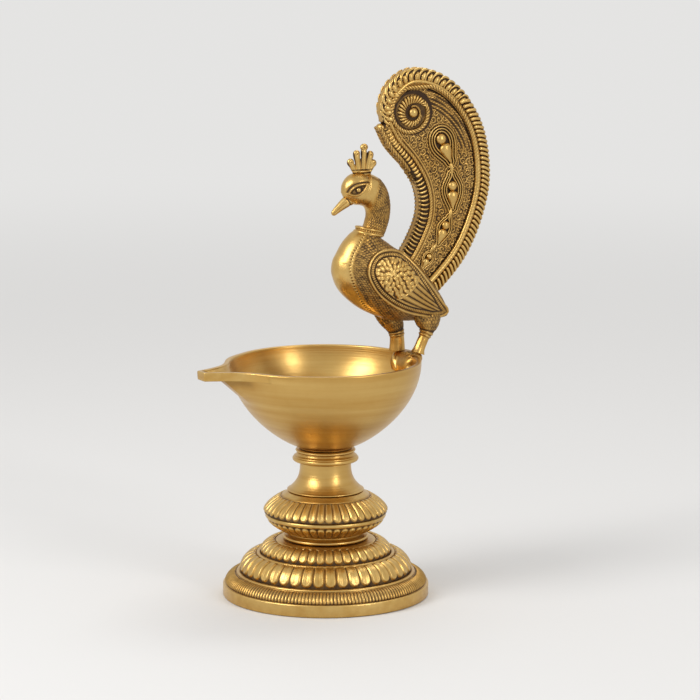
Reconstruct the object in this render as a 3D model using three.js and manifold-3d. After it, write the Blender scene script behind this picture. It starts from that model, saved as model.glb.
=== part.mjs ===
// A brass oil lamp: a turned stand, a spouted oil bowl and a peacock that perches on the bowl's rim.
// Units are millimetres and +Z is up. The spout points to -X and the bird stands at the +X side.
// The turned pieces share one upright axis. The finished lamp is centred over the origin, on z = 0.

import * as THREE from "three";
import { mergeVertices } from "three/addons/utils/BufferGeometryUtils.js";
import Module from "manifold-3d";

const wasm = await Module();
wasm.setup();

// Clearance between two pieces that seat on or in each other
const fitGap = 0.3;

// Foot: a hollow casting with a plain rim band and three rising convex tiers
const footRadius = 44;
const footWall = 3.2;
const footRimHeight = 5.2;
const fluteTierOuter = 43.3;
const fluteTierInner = 37.4;
const fluteTierRise = 4.6;
const middleTierOuter = 36.6;
const middleTierInner = 29.6;
const middleTierRise = 8;
const topTierOuter = 28;
const topTierInner = 21;
const topTierRise = 5.8;
const footTopRing = 0.6;
const footWeb = 4;

// Petals: the tongues that ring the foot's two upper tiers and both bells of the knop
const petalCount = 44;
const petalDepth = 0.8;

// Spigots that centre each turned piece in the one below, and the rod and stud that hold them
const spigotRadius = 7;
const spigotDepth = 3;
const rodRadius = 3;
const rodEngagement = 8.5;
const nutAcrossFlats = 10;
const nutHeight = 4.5;
const rodEndBeyondNut = 1.5;
const washerRadius = 11;
const washerThickness = 1.2;
const studInBowl = 4;
const studInStem = 8;

// Knop: the two-bell piece between foot and stem
const waistRadius = 15.6;
const waistRingRadius = 17;
const waistRingHeight = 1.5;
const knopRadius = 26.8;
const knopTopRadius = 16;
const knopLowerHeight = 9.6;
const knopBandHeight = 2.6;
const knopUpperHeight = 6.8;

// Stem: a trumpet that narrows upward, and the double-ringed collar on it
const stemBaseRadius = 15.5;
const stemNeckRadius = 10.6;
const stemHeight = 12.4;
const collarLipRadius = 14.1;
const collarLipHeight = 2.8;
const collarRingRadius = 12.8;
const collarRingHeight = 1.7;
const collarNeckRadius = 11.6;

// Bowl: wall, boss and floor, then the spout that grows out of the rim
const rimRadius = 40.8;
const bowlWall = 2.2;
const bowlHeight = 37.6;
const bossRadius = 10.6;
const bossHeight = 1;
const bossShoulder = 1.3;
const bowlFloor = 6.2;
const rimRounding = 0.5;
const spoutReach = 60;
const spoutTipHalfWidth = 3.3;
const spoutTaperAngle = 8.2;
const spoutShoulderSwell = 2.6;
const spoutShoulderAngle = 34;
const spoutFlangeHeight = 3.3;
const spoutKeelDepth = 16;
const spoutKeelShare = 0.62;
const spoutChannelDepth = 14;

// Perch: the block let into the rim opposite the spout, and the pins through the bird's feet
const perchLength = 11.8;
const perchWidth = 18.8;
const perchThickness = 4.6;
const perchOverhang = 4.4;
const perchCorner = 2.4;
const footPinRadius = 0.9;
const footPinRise = 2.4;

// Bird: heights are measured from the perch's top. Places along x are measured from the turned
// axis of a lamp whose perch ends at drawnPerchEnd, and the bird moves with the real perch.
const drawnPerchEnd = 45.2;
const bodyStations = [
  { x: 4.2, top: 42.8, bottom: 34.6, half: 3.8 },
  { x: 7, top: 47.5, bottom: 28.8, half: 7.2 },
  { x: 11.4, top: 51.1, bottom: 24.5, half: 9.8 },
  { x: 17, top: 52, bottom: 20.6, half: 11.7 },
  { x: 24, top: 51.2, bottom: 17, half: 12.7 },
  { x: 32, top: 46.2, bottom: 14.6, half: 12.7 },
  { x: 40, top: 41.2, bottom: 13.8, half: 11.2 },
  { x: 48, top: 33.2, bottom: 13.6, half: 8.7 },
  { x: 55, top: 24, bottom: 13.8, half: 5.4 },
  { x: 59, top: 17.4, bottom: 14.2, half: 1.8 },
];
const breastFront = { x: 3.3, z: 39.4 };
const rumpEnd = { x: 59.8, z: 15.6 };
const shoulderStations = [
  { x: 19.5, z: 42, half: 10, wide: 9.6 },
  { x: 20.8, z: 47.5, half: 8.2, wide: 7.8 },
  { x: 22.4, z: 51.6, half: 6.6, wide: 6.3 },
];
const neckTilt = 20;
const bandBottomRadius = 6.6;
const bandTopRadius = 5.5;
const bandHeight = 2.8;
const bandBead = 0.45;
const neckStations = [
  { x: 25.2, z: 58.5, half: 5.3, wide: 4.9 },
  { x: 25.8, z: 62.4, half: 5.5, wide: 5 },
  { x: 25, z: 66.4, half: 6, wide: 5.3 },
  { x: 22.6, z: 70, half: 6.6, wide: 5.8 },
  { x: 19, z: 72, half: 6.9, wide: 6.3 },
  { x: 15.2, z: 72.5, half: 6.9, wide: 6.4 },
  { x: 11.6, z: 72.3, half: 5.6, wide: 5.5 },
  { x: 9.2, z: 72.1, half: 3.6, wide: 3.6 },
];
const foreheadX = 8.1;
const neckSpigotRadius = 2.6;
const neckSpigotDepth = 3.5;
const beakRootRadius = 2.7;
const beakTipRadius = 0.6;
const beakRoot = { x: 12, z: 68.4 };
const beakTip = { x: 2.9, z: 61.5 };
const crownSink = 0.3;
const crestBehindCrown = -1.4;
const crestBaseHalf = 4.1;
const crestBaseHeight = 2.2;
const crestThickness = 2.6;
const plumeTipRadius = 1.3;
const plumeMiddleRadius = 1.6;
const crestPlumes = [
  { x: -5.5, z: 5, tip: plumeTipRadius },
  { x: -2.6, z: 8.6, tip: plumeMiddleRadius },
  { x: 0.9, z: 10.4, tip: plumeMiddleRadius },
  { x: 4, z: 8, tip: plumeMiddleRadius },
  { x: 5.5, z: 3.8, tip: plumeTipRadius },
];

// Wings: leaf-shaped shields that lie on the flanks
const wingThickness = 1.9;
const wingOutline = [
  [15.5, 36.7],
  [21, 45.8],
  [28.4, 46.3],
  [37.6, 40.4],
  [45.2, 30.4],
  [52.8, 18.6],
  [49.2, 16.4],
  [37.4, 19],
  [25.4, 24.2],
];

// Legs: the near one stands further back than the far one
const legSpread = 5.5;
const nearLegStations = [
  { x: 46.5, z: 21, half: 6.2, wide: 4.4 },
  { x: 46, z: 15.4, half: 6.1, wide: 4.2 },
  { x: 46.6, z: 11.8, half: 4, wide: 3.4 },
  { x: 46.2, z: 8.8, half: 2.9, wide: 2.8 },
  { x: 44.4, z: 5.4, half: 2.5, wide: 2.5 },
  { x: 42.6, z: 2.2, half: 2.9, wide: 2.8 },
  { x: 41.9, z: -1.2, half: 3.3, wide: 3.2 },
];
const farLegStations = [
  { x: 34.5, z: 21, half: 6.4, wide: 4.6 },
  { x: 35.4, z: 15.7, half: 6, wide: 4.3 },
  { x: 37.2, z: 11.8, half: 4.2, wide: 3.6 },
  { x: 37.9, z: 8.5, half: 3.5, wide: 3 },
  { x: 38, z: 4.7, half: 3.3, wide: 2.9 },
  { x: 37.8, z: -1.2, half: 3.5, wide: 3.2 },
];

// Tail: a flat crescent that rises from the back and rolls forward into a scroll
const tailThickness = 7;
const tailFieldThickness = 4.8;
const tailBorderWidth = 5.6;
const tailEdgeChamfer = 1.4;
const tailOuterEdge = [
  [47, 18],
  [67.7, 39.1],
  [77.3, 59.2],
  [80, 75.2],
  [76.4, 96.2],
  [66, 111.9],
  [52, 120.8],
  [38.6, 121.9],
  [28.6, 115.2],
  [25.1, 105.6],
  [26.4, 100],
  [24.4, 97],
];
const tailInnerEdge = [
  [24.4, 97],
  [29, 89],
  [37.8, 79],
  [43.2, 69.2],
  [43.8, 60],
  [38.6, 48.2],
  [31, 38],
];
const scrollCentre = { x: 40.9, z: 103.2 };
const scrollRadius = 10.6;
const scrollBossRadius = 3.2;
const scrollThickness = 8;
const eyespots = [
  { x: 56.2, z: 87.6, tilt: 22, length: 8.4, width: 3.9 },
  { x: 60.5, z: 67, tilt: 2, length: 7.6, width: 3.4 },
  { x: 56.2, z: 51, tilt: -24, length: 6.4, width: 3 },
  { x: 48, z: 40.4, tilt: -36, length: 4.4, width: 2.2 },
];
const eyespotThickness = 7.4;

// Facets
const turnedSegments = 40;
const petalSegments = 2 * petalCount;
const slimSegments = 16;

// The foot's tiers, from the lowest up
const footTiers = [
  { outer: fluteTierOuter, inner: fluteTierInner, rise: fluteTierRise },
  { outer: middleTierOuter, inner: middleTierInner, rise: middleTierRise },
  { outer: topTierOuter, inner: topTierInner, rise: topTierRise },
];

// Levels up the lamp, each worked out from the piece below it
const footTop = footRimHeight + footTopRing + footTiers.reduce((sum, tier) => sum + tier.rise, 0);
const knopBottom = footTop + fitGap;
const knopTop = knopBottom + waistRingHeight + knopLowerHeight + knopBandHeight + knopUpperHeight;
const stemBottom = knopTop + fitGap;
const stemTop = stemBottom + stemHeight;
const collarBottom = stemTop + fitGap;
const collarTop = collarBottom + collarLipHeight + collarRingHeight + 0.8;
const bowlBottom = collarTop + fitGap;
const rimTop = bowlBottom + bowlHeight;
const perchTop = rimTop + fitGap;
const perchOuterX = rimRadius + perchOverhang;
const birdX = perchOuterX - drawnPerchEnd;
const fullTurn = 360;
const boreRadius = rodRadius + fitGap;
const stemMiddle = stemTop - studInStem - fitGap;

// Turns a triangle geometry into a closed solid that faces outward.
function solidOf(geometry) {
  const bare = geometry.clone();
  bare.deleteAttribute("normal");
  bare.deleteAttribute("uv");
  const merged = mergeVertices(bare, 1e-4);
  const corners = merged.index.array;
  const kept = [];
  for (let i = 0; i < corners.length; i += 3) {
    const [a, b, c] = [corners[i], corners[i + 1], corners[i + 2]];
    if (a !== b && b !== c && c !== a) kept.push(a, b, c);
  }
  const positions = merged.getAttribute("position").array;
  if (signedVolume(positions, kept) < 0) kept.reverse();
  return new wasm.Manifold(
    new wasm.Mesh({
      numProp: 3,
      vertProperties: positions,
      triVerts: new Uint32Array(kept),
    }),
  );
}

// Six times the volume that the triangles enclose, negative when they face inward.
function signedVolume(positions, corners) {
  const [a, b, c] = [new THREE.Vector3(), new THREE.Vector3(), new THREE.Vector3()];
  let total = 0;
  for (let i = 0; i < corners.length; i += 3) {
    a.fromArray(positions, 3 * corners[i]);
    b.fromArray(positions, 3 * corners[i + 1]);
    c.fromArray(positions, 3 * corners[i + 2]);
    total += a.dot(b.cross(c));
  }
  return total;
}

// Gives a solid back as a three.js geometry.
function geometryOf(solid) {
  const mesh = solid.getMesh();
  const geometry = new THREE.BufferGeometry();
  const positions = new Float32Array(mesh.numVert * 3);
  for (let i = 0; i < mesh.numVert; i++) {
    const from = i * mesh.numProp;
    positions.set(mesh.vertProperties.subarray(from, from + 3), i * 3);
  }
  geometry.setAttribute("position", new THREE.BufferAttribute(positions, 3));
  geometry.setIndex(new THREE.BufferAttribute(mesh.triVerts, 1));
  geometry.computeVertexNormals();
  return geometry;
}

// Joins a list of solids.
function joined(solids) {
  return solids.reduce((whole, next) => whole.add(next));
}

// A piece turned about the upright axis, from [radius, height] points.
function turned(profile, segments = turnedSegments) {
  const points = profile.map(([radius, height]) => new THREE.Vector2(radius, height));
  return solidOf(new THREE.LatheGeometry(points, segments).rotateX(Math.PI / 2));
}

// A closed turned ring: its profile ends where it starts.
function turnedRing(profile, segments = turnedSegments) {
  return turned([...profile, profile[0]], segments);
}

// A closed turned ring whose profile points may carry a third value, the depth to which the
// grooves between its petals are cut there.
function petalledRing(profile) {
  const points = [...profile, profile[0]];
  const outline = points.map(([radius, height]) => new THREE.Vector2(radius, height));
  const geometry = new THREE.LatheGeometry(outline, petalSegments);
  const positions = geometry.getAttribute("position");
  for (let i = 0; i < positions.count; i++) {
    const [radius, , depth = 0] = points[i % points.length];
    const column = Math.floor(i / points.length);
    const share = column % 2 === 0 ? 1 : (radius - depth) / radius;
    positions.setX(i, positions.getX(i) * share);
    positions.setZ(i, positions.getZ(i) * share);
  }
  return solidOf(geometry.rotateX(Math.PI / 2));
}

// An upright round bar between two heights.
function bar(radius, low, high, segments = slimSegments, x = 0, y = 0) {
  const geometry = new THREE.CylinderGeometry(radius, radius, high - low, segments);
  geometry.rotateX(Math.PI / 2);
  geometry.translate(x, y, (low + high) / 2);
  return solidOf(geometry);
}

// An upright block between two corners.
function block(low, high) {
  const size = high.map((value, axis) => value - low[axis]);
  const geometry = new THREE.BoxGeometry(...size);
  geometry.translate(...low.map((value, axis) => value + size[axis] / 2));
  return solidOf(geometry);
}

// A skin over rings of equal point counts, closed at both ends by a centre point.
function skin(rings, firstCentre, lastCentre) {
  const count = rings[0].length;
  const points = [...rings.flat(), firstCentre, lastCentre];
  const firstIndex = rings.length * count;
  const lastIndex = firstIndex + 1;
  const lastRing = (rings.length - 1) * count;
  const corners = [];
  for (let side = 0; side < count; side++) {
    const next = (side + 1) % count;
    for (let row = 0; row < rings.length - 1; row++) {
      const [a, b] = [row * count + side, row * count + next];
      corners.push(a, b, b + count, a, b + count, a + count);
    }
    corners.push(firstIndex, next, side);
    corners.push(lastIndex, lastRing + side, lastRing + next);
  }
  const geometry = new THREE.BufferGeometry();
  const positions = new Float32Array(points.flatMap((point) => point.toArray()));
  geometry.setAttribute("position", new THREE.BufferAttribute(positions, 3));
  geometry.setIndex(corners);
  return solidOf(geometry);
}

// The middle of a ring of points.
function centreOf(ring) {
  const sum = new THREE.Vector3();
  ring.forEach((point) => sum.add(point));
  return sum.divideScalar(ring.length);
}

// A limb with oval sections along a smooth path in the plane y = offset.
// Each station gives its place, its half-depth in the plane and its half-width across it.
function limb(stations, { sides = 14, steps = 2, extra = 0, offset = 0, point = null } = {}) {
  const path = new THREE.CatmullRomCurve3(
    stations.map((s) => new THREE.Vector3(s.x, offset, s.z)),
    false,
    "catmullrom",
  );
  const sizes = new THREE.CatmullRomCurve3(
    stations.map((s) => new THREE.Vector3(s.half + extra, s.wide + extra, 0)),
    false,
    "catmullrom",
  );
  const across = new THREE.Vector3(0, 1, 0);
  const total = (stations.length - 1) * steps;
  const rings = [];
  for (let i = 0; i <= total; i++) {
    const centre = path.getPoint(i / total);
    const size = sizes.getPoint(i / total);
    const outward = path.getTangent(i / total).cross(across);
    const ring = [];
    for (let side = 0; side < sides; side++) {
      const angle = (2 * Math.PI * side) / sides;
      const rim = centre.clone();
      rim.addScaledVector(outward, size.x * Math.cos(angle));
      rim.addScaledVector(across, size.y * Math.sin(angle));
      ring.push(rim);
    }
    rings.push(ring);
  }
  const last = rings[rings.length - 1];
  return skin(rings, centreOf(rings[0]), point ?? centreOf(last));
}

// A plate cut to an outline in the x-z plane, centred on y = 0.
function plate(outline, thickness) {
  const shape = new THREE.Shape(outline);
  const geometry = new THREE.ExtrudeGeometry(shape, { depth: thickness, bevelEnabled: false });
  geometry.translate(0, 0, -thickness / 2);
  return solidOf(geometry.rotateX(Math.PI / 2));
}

// Points along a smooth curve through [x, z] places, lifted by a height.
function smooth(places, lift, count, closed = false) {
  const curve = new THREE.CatmullRomCurve3(
    places.map(([x, z]) => new THREE.Vector3(x, z + lift, 0)),
    closed,
    "centripetal",
  );
  return curve.getPoints(count).map((point) => new THREE.Vector2(point.x, point.y));
}

// A border bar along a plate's edge. It grows inward, to the left of the line of points,
// and its two outer corners are chamfered.
function border(edge, width, thickness, chamfer) {
  const half = thickness / 2;
  const section = [
    [0, chamfer - half],
    [chamfer, -half],
    [width, -half],
    [width, half],
    [chamfer, half],
    [0, half - chamfer],
  ];
  const rings = edge.map((point, i) => {
    const before = edge[Math.max(i - 1, 0)];
    const after = edge[Math.min(i + 1, edge.length - 1)];
    const along = after.clone().sub(before).normalize();
    return section.map(
      ([inset, y]) => new THREE.Vector3(point.x - along.y * inset, y, point.y + along.x * inset),
    );
  });
  return skin(rings, centreOf(rings[0]), centreOf(rings[rings.length - 1]));
}

// Raises a station's heights from the perch's top to the lamp's own heights.
function onPerch(stations) {
  return stations.map((station) => ({ ...station, z: station.z + perchTop }));
}

function makeFoot() {
  const outside = [
    [footRadius - footWall, 0],
    [footRadius, 0],
    [footRadius, footRimHeight],
  ];
  const inside = [];
  let level = footRimHeight;
  for (const tier of footTiers) {
    inside.unshift([tier.outer - footWall, level]);
    const steps = tier === footTiers[0] ? 2 : 4;
    for (let step = 0; step <= steps; step++) {
      const angle = ((step / steps) * Math.PI) / 2;
      const radius = tier.inner + (tier.outer - tier.inner) * Math.cos(angle);
      const petalled = steps === 4 && step > 0 && step < steps;
      outside.push([radius, level + tier.rise * Math.sin(angle), petalled ? petalDepth : 0]);
    }
    level += tier.rise;
  }
  const topRingRadius = waistRingRadius + 3;
  outside.push([topRingRadius, level]);
  outside.push([topRingRadius, footTop]);
  const holeRadius = spigotRadius + fitGap;
  outside.push([holeRadius, footTop]);
  const webBottom = footTop - footWeb;
  outside.push([holeRadius, webBottom]);
  outside.push([washerRadius + fitGap, webBottom]);
  return petalledRing([...outside, ...inside]);
}

function makeKnop() {
  const profile = [
    [boreRadius, knopBottom - spigotDepth],
    [spigotRadius, knopBottom - spigotDepth],
    [spigotRadius, knopBottom],
    [waistRingRadius - 0.6, knopBottom],
    [waistRingRadius, knopBottom + waistRingHeight / 2],
    [waistRingRadius - 0.6, knopBottom + waistRingHeight],
  ];
  const bellBottom = knopBottom + waistRingHeight;
  for (let step = 0; step <= 5; step++) {
    const share = step / 5;
    const swell = 1 - (1 - share) ** 1.6;
    const radius = waistRadius + (knopRadius - waistRadius) * swell;
    const depth = step > 1 && step < 5 ? petalDepth : 0;
    profile.push([radius, bellBottom + 0.05 + (knopLowerHeight - 0.05) * share, depth]);
  }
  const bandTop = bellBottom + knopLowerHeight + knopBandHeight;
  for (let step = 0; step <= 5; step++) {
    const share = step / 5;
    const radius = knopTopRadius + (knopRadius - knopTopRadius) * (1 - share ** 1.9);
    const depth = step > 0 && step < 5 ? petalDepth : 0;
    profile.push([radius, bandTop + knopUpperHeight * share, depth]);
  }
  const socketBottom = knopTop - spigotDepth - fitGap;
  profile.push([spigotRadius + fitGap, knopTop]);
  profile.push([spigotRadius + fitGap, socketBottom]);
  profile.push([boreRadius, socketBottom]);
  return petalledRing(profile);
}

function makeStem() {
  const profile = [
    [boreRadius, stemBottom - spigotDepth],
    [spigotRadius, stemBottom - spigotDepth],
    [spigotRadius, stemBottom],
  ];
  for (let step = 0; step <= 7; step++) {
    const share = step / 7;
    const flare = (stemBaseRadius - stemNeckRadius) * (1 - share) ** 2.6;
    profile.push([stemNeckRadius + flare, stemBottom + stemHeight * share]);
  }
  profile.push([boreRadius, stemTop]);
  return turnedRing(profile);
}

function makeStemCollar() {
  const lipTop = collarBottom + collarLipHeight;
  const ringBottom = collarTop - collarRingHeight;
  return turnedRing([
    [boreRadius, collarBottom],
    [stemNeckRadius, collarBottom],
    [collarLipRadius - 0.7, collarBottom + 0.5],
    [collarLipRadius, collarBottom + collarLipHeight / 2],
    [collarLipRadius - 0.7, lipTop - 0.5],
    [collarNeckRadius, lipTop],
    [collarNeckRadius, ringBottom],
    [collarRingRadius, ringBottom + collarRingHeight / 3],
    [collarRingRadius, collarTop - collarRingHeight / 3],
    [collarNeckRadius, collarTop],
    [boreRadius, collarTop],
  ]);
}

// The rod, washer and nut that clamp foot, knop and stem together from below.
const washerTop = footTop - footWeb - fitGap;
const nutTop = washerTop - washerThickness - fitGap;
const nutBottom = nutTop - nutHeight;

function makeTieRod() {
  const rodTop = Math.min(stemMiddle, stemBottom - spigotDepth + rodEngagement);
  return bar(rodRadius, nutBottom - rodEndBeyondNut, rodTop);
}

function makeTieWasher() {
  const washerBottom = washerTop - washerThickness;
  return turnedRing(
    [
      [boreRadius, washerBottom],
      [washerRadius, washerBottom],
      [washerRadius, washerTop],
      [boreRadius, washerTop],
    ],
    slimSegments,
  );
}

function makeTieNut() {
  const cornerRadius = nutAcrossFlats / Math.sqrt(3);
  const hexagon = bar(cornerRadius, nutBottom, nutTop, 6);
  return hexagon.subtract(bar(boreRadius, nutBottom - 1, nutTop + 1));
}

// The round part of the bowl: its outside radius at a height.
function bowlRadius(z) {
  const bowlStart = bowlBottom + bossHeight;
  const share = THREE.MathUtils.clamp((z - bowlStart) / (rimTop - bowlStart), 0, 1);
  const start = bossRadius + bossShoulder;
  return start + (rimRadius - start) * (1 - (1 - share) ** 2) ** 0.8;
}

// How far the rim reaches at an angle from the spout's middle, seen from above.
const spoutTipAngle = THREE.MathUtils.radToDeg(Math.asin(spoutTipHalfWidth / spoutReach));

function rimReach(angle) {
  const away = Math.abs(angle);
  const fall = Math.exp(-Math.max(away - spoutTipAngle, 0) / spoutTaperAngle);
  const aside = Math.min(Math.abs(away - spoutShoulderAngle) / 22, 1);
  const swell = (spoutShoulderSwell * (1 + Math.cos(Math.PI * aside))) / 2;
  return rimRadius + (spoutReach - rimRadius) * fall + swell;
}

// The channel's edge keeps the wall's width inside the slanting sides of the spout.
function channelReach(angle) {
  const away = Math.abs(angle);
  if (away < spoutTipAngle) return rimReach(angle) - bowlWall;
  const slope = (rimReach(away + 0.5) - rimReach(away)) / THREE.MathUtils.degToRad(0.5);
  const lean = rimReach(away) / Math.hypot(rimReach(away), slope);
  return rimReach(angle) - bowlWall / lean;
}

// How much of the spout is left at a depth below the rim, outside and inside.
function keelShare(depth) {
  if (depth <= spoutFlangeHeight) return 1;
  const left = (depth - spoutFlangeHeight) / (spoutKeelDepth - spoutFlangeHeight);
  return spoutKeelShare * Math.max(1 - left, 0) ** 1.3;
}

function channelShare(depth) {
  return Math.max(1 - depth / spoutChannelDepth, 0) ** 1.8;
}

function bowlAngles() {
  const nearSpout = [0, spoutTipAngle, 5, 7.5, 10.5, 14, 18, 23, 30, 38, 47, 56];
  const roundSteps = 25;
  const edge = nearSpout[nearSpout.length - 1];
  const angles = nearSpout.slice(1).map((angle) => -angle);
  angles.reverse();
  angles.push(...nearSpout);
  for (let step = 1; step < roundSteps; step++) {
    angles.push(edge + ((fullTurn - 2 * edge) * step) / roundSteps);
  }
  return angles;
}

// A level ring of the bowl, where 0 degrees is the spout's middle at -X.
function bowlRing(z, radiusAt) {
  return bowlAngles().map((angle) => {
    const turn = Math.PI - THREE.MathUtils.degToRad(angle);
    const radius = radiusAt(angle > fullTurn / 2 ? angle - fullTurn : angle);
    return new THREE.Vector3(radius * Math.cos(turn), radius * Math.sin(turn), z);
  });
}

function makeBowl() {
  const rings = [
    bowlRing(bowlBottom, () => bossRadius),
    bowlRing(bowlBottom + bossHeight, () => bossRadius + bossShoulder),
  ];
  const bodyTop = rimTop - spoutKeelDepth;
  for (let step = 1; step <= 6; step++) {
    const z = bowlBottom + bossHeight + ((bodyTop - bowlBottom - bossHeight) * (step / 6) ** 1.3);
    rings.push(bowlRing(z, () => bowlRadius(z)));
  }
  const keelDepths = [0.72, 0.45, 0.22].map(
    (share) => spoutFlangeHeight + (spoutKeelDepth - spoutFlangeHeight) * share,
  );
  for (const depth of [...keelDepths, spoutFlangeHeight + 0.5, spoutFlangeHeight, rimRounding]) {
    const z = rimTop - depth;
    const share = keelShare(depth);
    rings.push(bowlRing(z, (angle) => bowlRadius(z) + (rimReach(angle) - rimRadius) * share));
  }
  rings.push(bowlRing(rimTop, (angle) => rimReach(angle) - rimRounding));
  rings.push(bowlRing(rimTop, (angle) => channelReach(angle) + rimRounding));

  const insideBottom = bowlBottom + bowlFloor;
  const squeeze = (rimTop - insideBottom) / (rimTop - bowlBottom - bossHeight);
  const insideRadius = (z) => bowlRadius(rimTop - (rimTop - z) / squeeze) - bowlWall;
  const innerRim = rimRadius - bowlWall;
  for (const depth of [0.5, 2.5, 5, 9, spoutChannelDepth]) {
    const z = rimTop - depth;
    const share = channelShare(depth);
    rings.push(bowlRing(z, (angle) => insideRadius(z) + (channelReach(angle) - innerRim) * share));
  }
  const wellTop = rimTop - spoutChannelDepth;
  for (let step = 1; step <= 4; step++) {
    const z = wellTop + (insideBottom + 0.3 - wellTop) * (step / 4) ** 0.8;
    rings.push(bowlRing(z, () => insideRadius(z)));
  }
  const solid = skin(
    rings,
    new THREE.Vector3(0, 0, bowlBottom),
    new THREE.Vector3(0, 0, insideBottom),
  );
  const studHole = bar(boreRadius, bowlBottom - 1, bowlBottom + studInBowl + fitGap);
  return solid.subtract(studHole).subtract(perchBlock(fitGap));
}

function makeBowlStud() {
  return bar(rodRadius, stemTop - studInStem, bowlBottom + studInBowl);
}

// The perch's block, with its rounded corners, enlarged all round by some clearance.
function perchBlock(extra) {
  const [half, corner] = [perchWidth / 2 + extra, perchCorner];
  const [left, right] = [perchOuterX - perchLength - extra, perchOuterX + extra];
  const shape = new THREE.Shape();
  shape.moveTo(left + corner, -half);
  shape.lineTo(right - corner, -half);
  shape.absarc(right - corner, -half + corner, corner, -Math.PI / 2, 0);
  shape.absarc(right - corner, half - corner, corner, 0, Math.PI / 2);
  shape.absarc(left + corner, half - corner, corner, Math.PI / 2, Math.PI);
  shape.absarc(left + corner, -half + corner, corner, Math.PI, 1.5 * Math.PI);
  const geometry = new THREE.ExtrudeGeometry(shape, {
    depth: perchThickness + 2 * extra,
    bevelEnabled: false,
    curveSegments: 3,
  });
  geometry.translate(0, 0, perchTop - perchThickness - extra);
  return solidOf(geometry);
}

// The pin of one foot: where it stands and its two ends.
function footPin(stations, y, radius) {
  const x = stations[stations.length - 1].x + birdX;
  return bar(radius, perchTop - perchThickness + fitGap, perchTop + footPinRise, 10, x, y);
}

function makePerch() {
  const holeRadius = footPinRadius + fitGap;
  const holes = [
    pinHole(nearLegStations, -legSpread, holeRadius),
    pinHole(farLegStations, legSpread, holeRadius),
  ];
  return perchBlock(0).subtract(joined(holes).translate([birdX, 0, 0]));
}

function pinHole(stations, y, radius) {
  const x = stations[stations.length - 1].x;
  const bottom = perchTop - perchThickness - 1;
  return bar(radius, bottom, perchTop + footPinRise + fitGap, 10, x, y);
}

// The bird's trunk, enlarged all round by some clearance.
function trunk(extra) {
  const sides = 20;
  const columns = ["x", "top", "bottom", "half"].map((key) => bodyStations.map((s) => s[key]));
  const curve = (values) =>
    new THREE.CatmullRomCurve3(
      values.map((value) => new THREE.Vector3(value, 0, 0)),
      false,
      "catmullrom",
    );
  const [xs, tops, bottoms, halves] = columns.map(curve);
  const total = (bodyStations.length - 1) * 2;
  const middleX = (breastFront.x + rumpEnd.x) / 2;
  const stretch = 1 + (2 * extra) / (rumpEnd.x - breastFront.x);
  const rings = [];
  for (let i = 0; i <= total; i++) {
    const at = (column) => column.getPoint(i / total).x;
    const x = middleX + (at(xs) - middleX) * stretch;
    const centre = perchTop + (at(tops) + at(bottoms)) / 2;
    const tall = (at(tops) - at(bottoms)) / 2 + extra;
    const ring = [];
    for (let side = 0; side < sides; side++) {
      const angle = (2 * Math.PI * side) / sides;
      const y = (at(halves) + extra) * Math.sin(angle);
      ring.push(new THREE.Vector3(x, y, centre + tall * Math.cos(angle)));
    }
    rings.push(ring);
  }
  const front = new THREE.Vector3(breastFront.x - extra, 0, perchTop + breastFront.z);
  const back = new THREE.Vector3(rumpEnd.x + extra, 0, perchTop + rumpEnd.z);
  const shoulder = limb(onPerch(shoulderStations), { sides: 18, extra });
  return skin(rings, front, back).add(shoulder);
}

// Places a piece that is made about the upright axis on the tilted neck joint.
// Heights are measured along the neck from the end of the shoulders.
function onNeck(solid) {
  const joint = shoulderStations[shoulderStations.length - 1];
  return solid.rotate([0, neckTilt, 0]).translate([joint.x, 0, perchTop + joint.z]);
}

function makeBirdBody() {
  const joint = bar(bandBottomRadius + 8, 0, 20);
  const socket = bar(neckSpigotRadius + fitGap, -neckSpigotDepth - fitGap, 1);
  return trunk(0).subtract(onNeck(joint)).subtract(onNeck(socket));
}

function makeNeckBand() {
  const [low, high] = [fitGap, fitGap + bandHeight];
  const middle = (low + high) / 2;
  const waist = (bandBottomRadius + bandTopRadius) / 2 - bandBead;
  const ring = turnedRing(
    [
      [neckSpigotRadius + fitGap, low],
      [bandBottomRadius - bandBead, low],
      [bandBottomRadius, low + bandHeight / 4],
      [waist, middle],
      [bandTopRadius + bandBead, high - bandHeight / 4],
      [bandTopRadius - bandBead, high],
      [neckSpigotRadius + fitGap, high],
    ],
    24,
  );
  return onNeck(ring);
}

// The neck and head in one casting, enlarged all round by some clearance.
function neckAndHead(extra) {
  const stations = onPerch(neckStations);
  const joint = shoulderStations[shoulderStations.length - 1];
  const lean = THREE.MathUtils.degToRad(neckTilt);
  const rise = bandHeight + 2 * fitGap;
  stations.unshift({
    x: joint.x + rise * Math.sin(lean),
    z: perchTop + joint.z + rise * Math.cos(lean),
    half: bandTopRadius - bandBead,
    wide: bandTopRadius - bandBead - 0.3,
  });
  const browZ = stations[stations.length - 1].z;
  const point = new THREE.Vector3(foreheadX - extra, 0, browZ);
  return limb(stations, { sides: 16, extra, point });
}

function makeBirdHead() {
  const underBand = bar(bandTopRadius + 8, -20, bandHeight + 2 * fitGap);
  const spigot = bar(neckSpigotRadius, -neckSpigotDepth, bandHeight + 4);
  return neckAndHead(0).subtract(onNeck(underBand)).add(onNeck(spigot));
}

function makeBeak() {
  const stations = [0, 0.3, 0.65, 1].map((share) => {
    const radius = THREE.MathUtils.lerp(beakRootRadius, beakTipRadius, share);
    return {
      x: THREE.MathUtils.lerp(beakRoot.x, beakTip.x, share),
      z: THREE.MathUtils.lerp(beakRoot.z, beakTip.z, share),
      half: radius,
      wide: radius * 0.92,
    };
  });
  return limb(onPerch(stations), { sides: 10, steps: 1 }).subtract(neckAndHead(fitGap));
}

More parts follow.
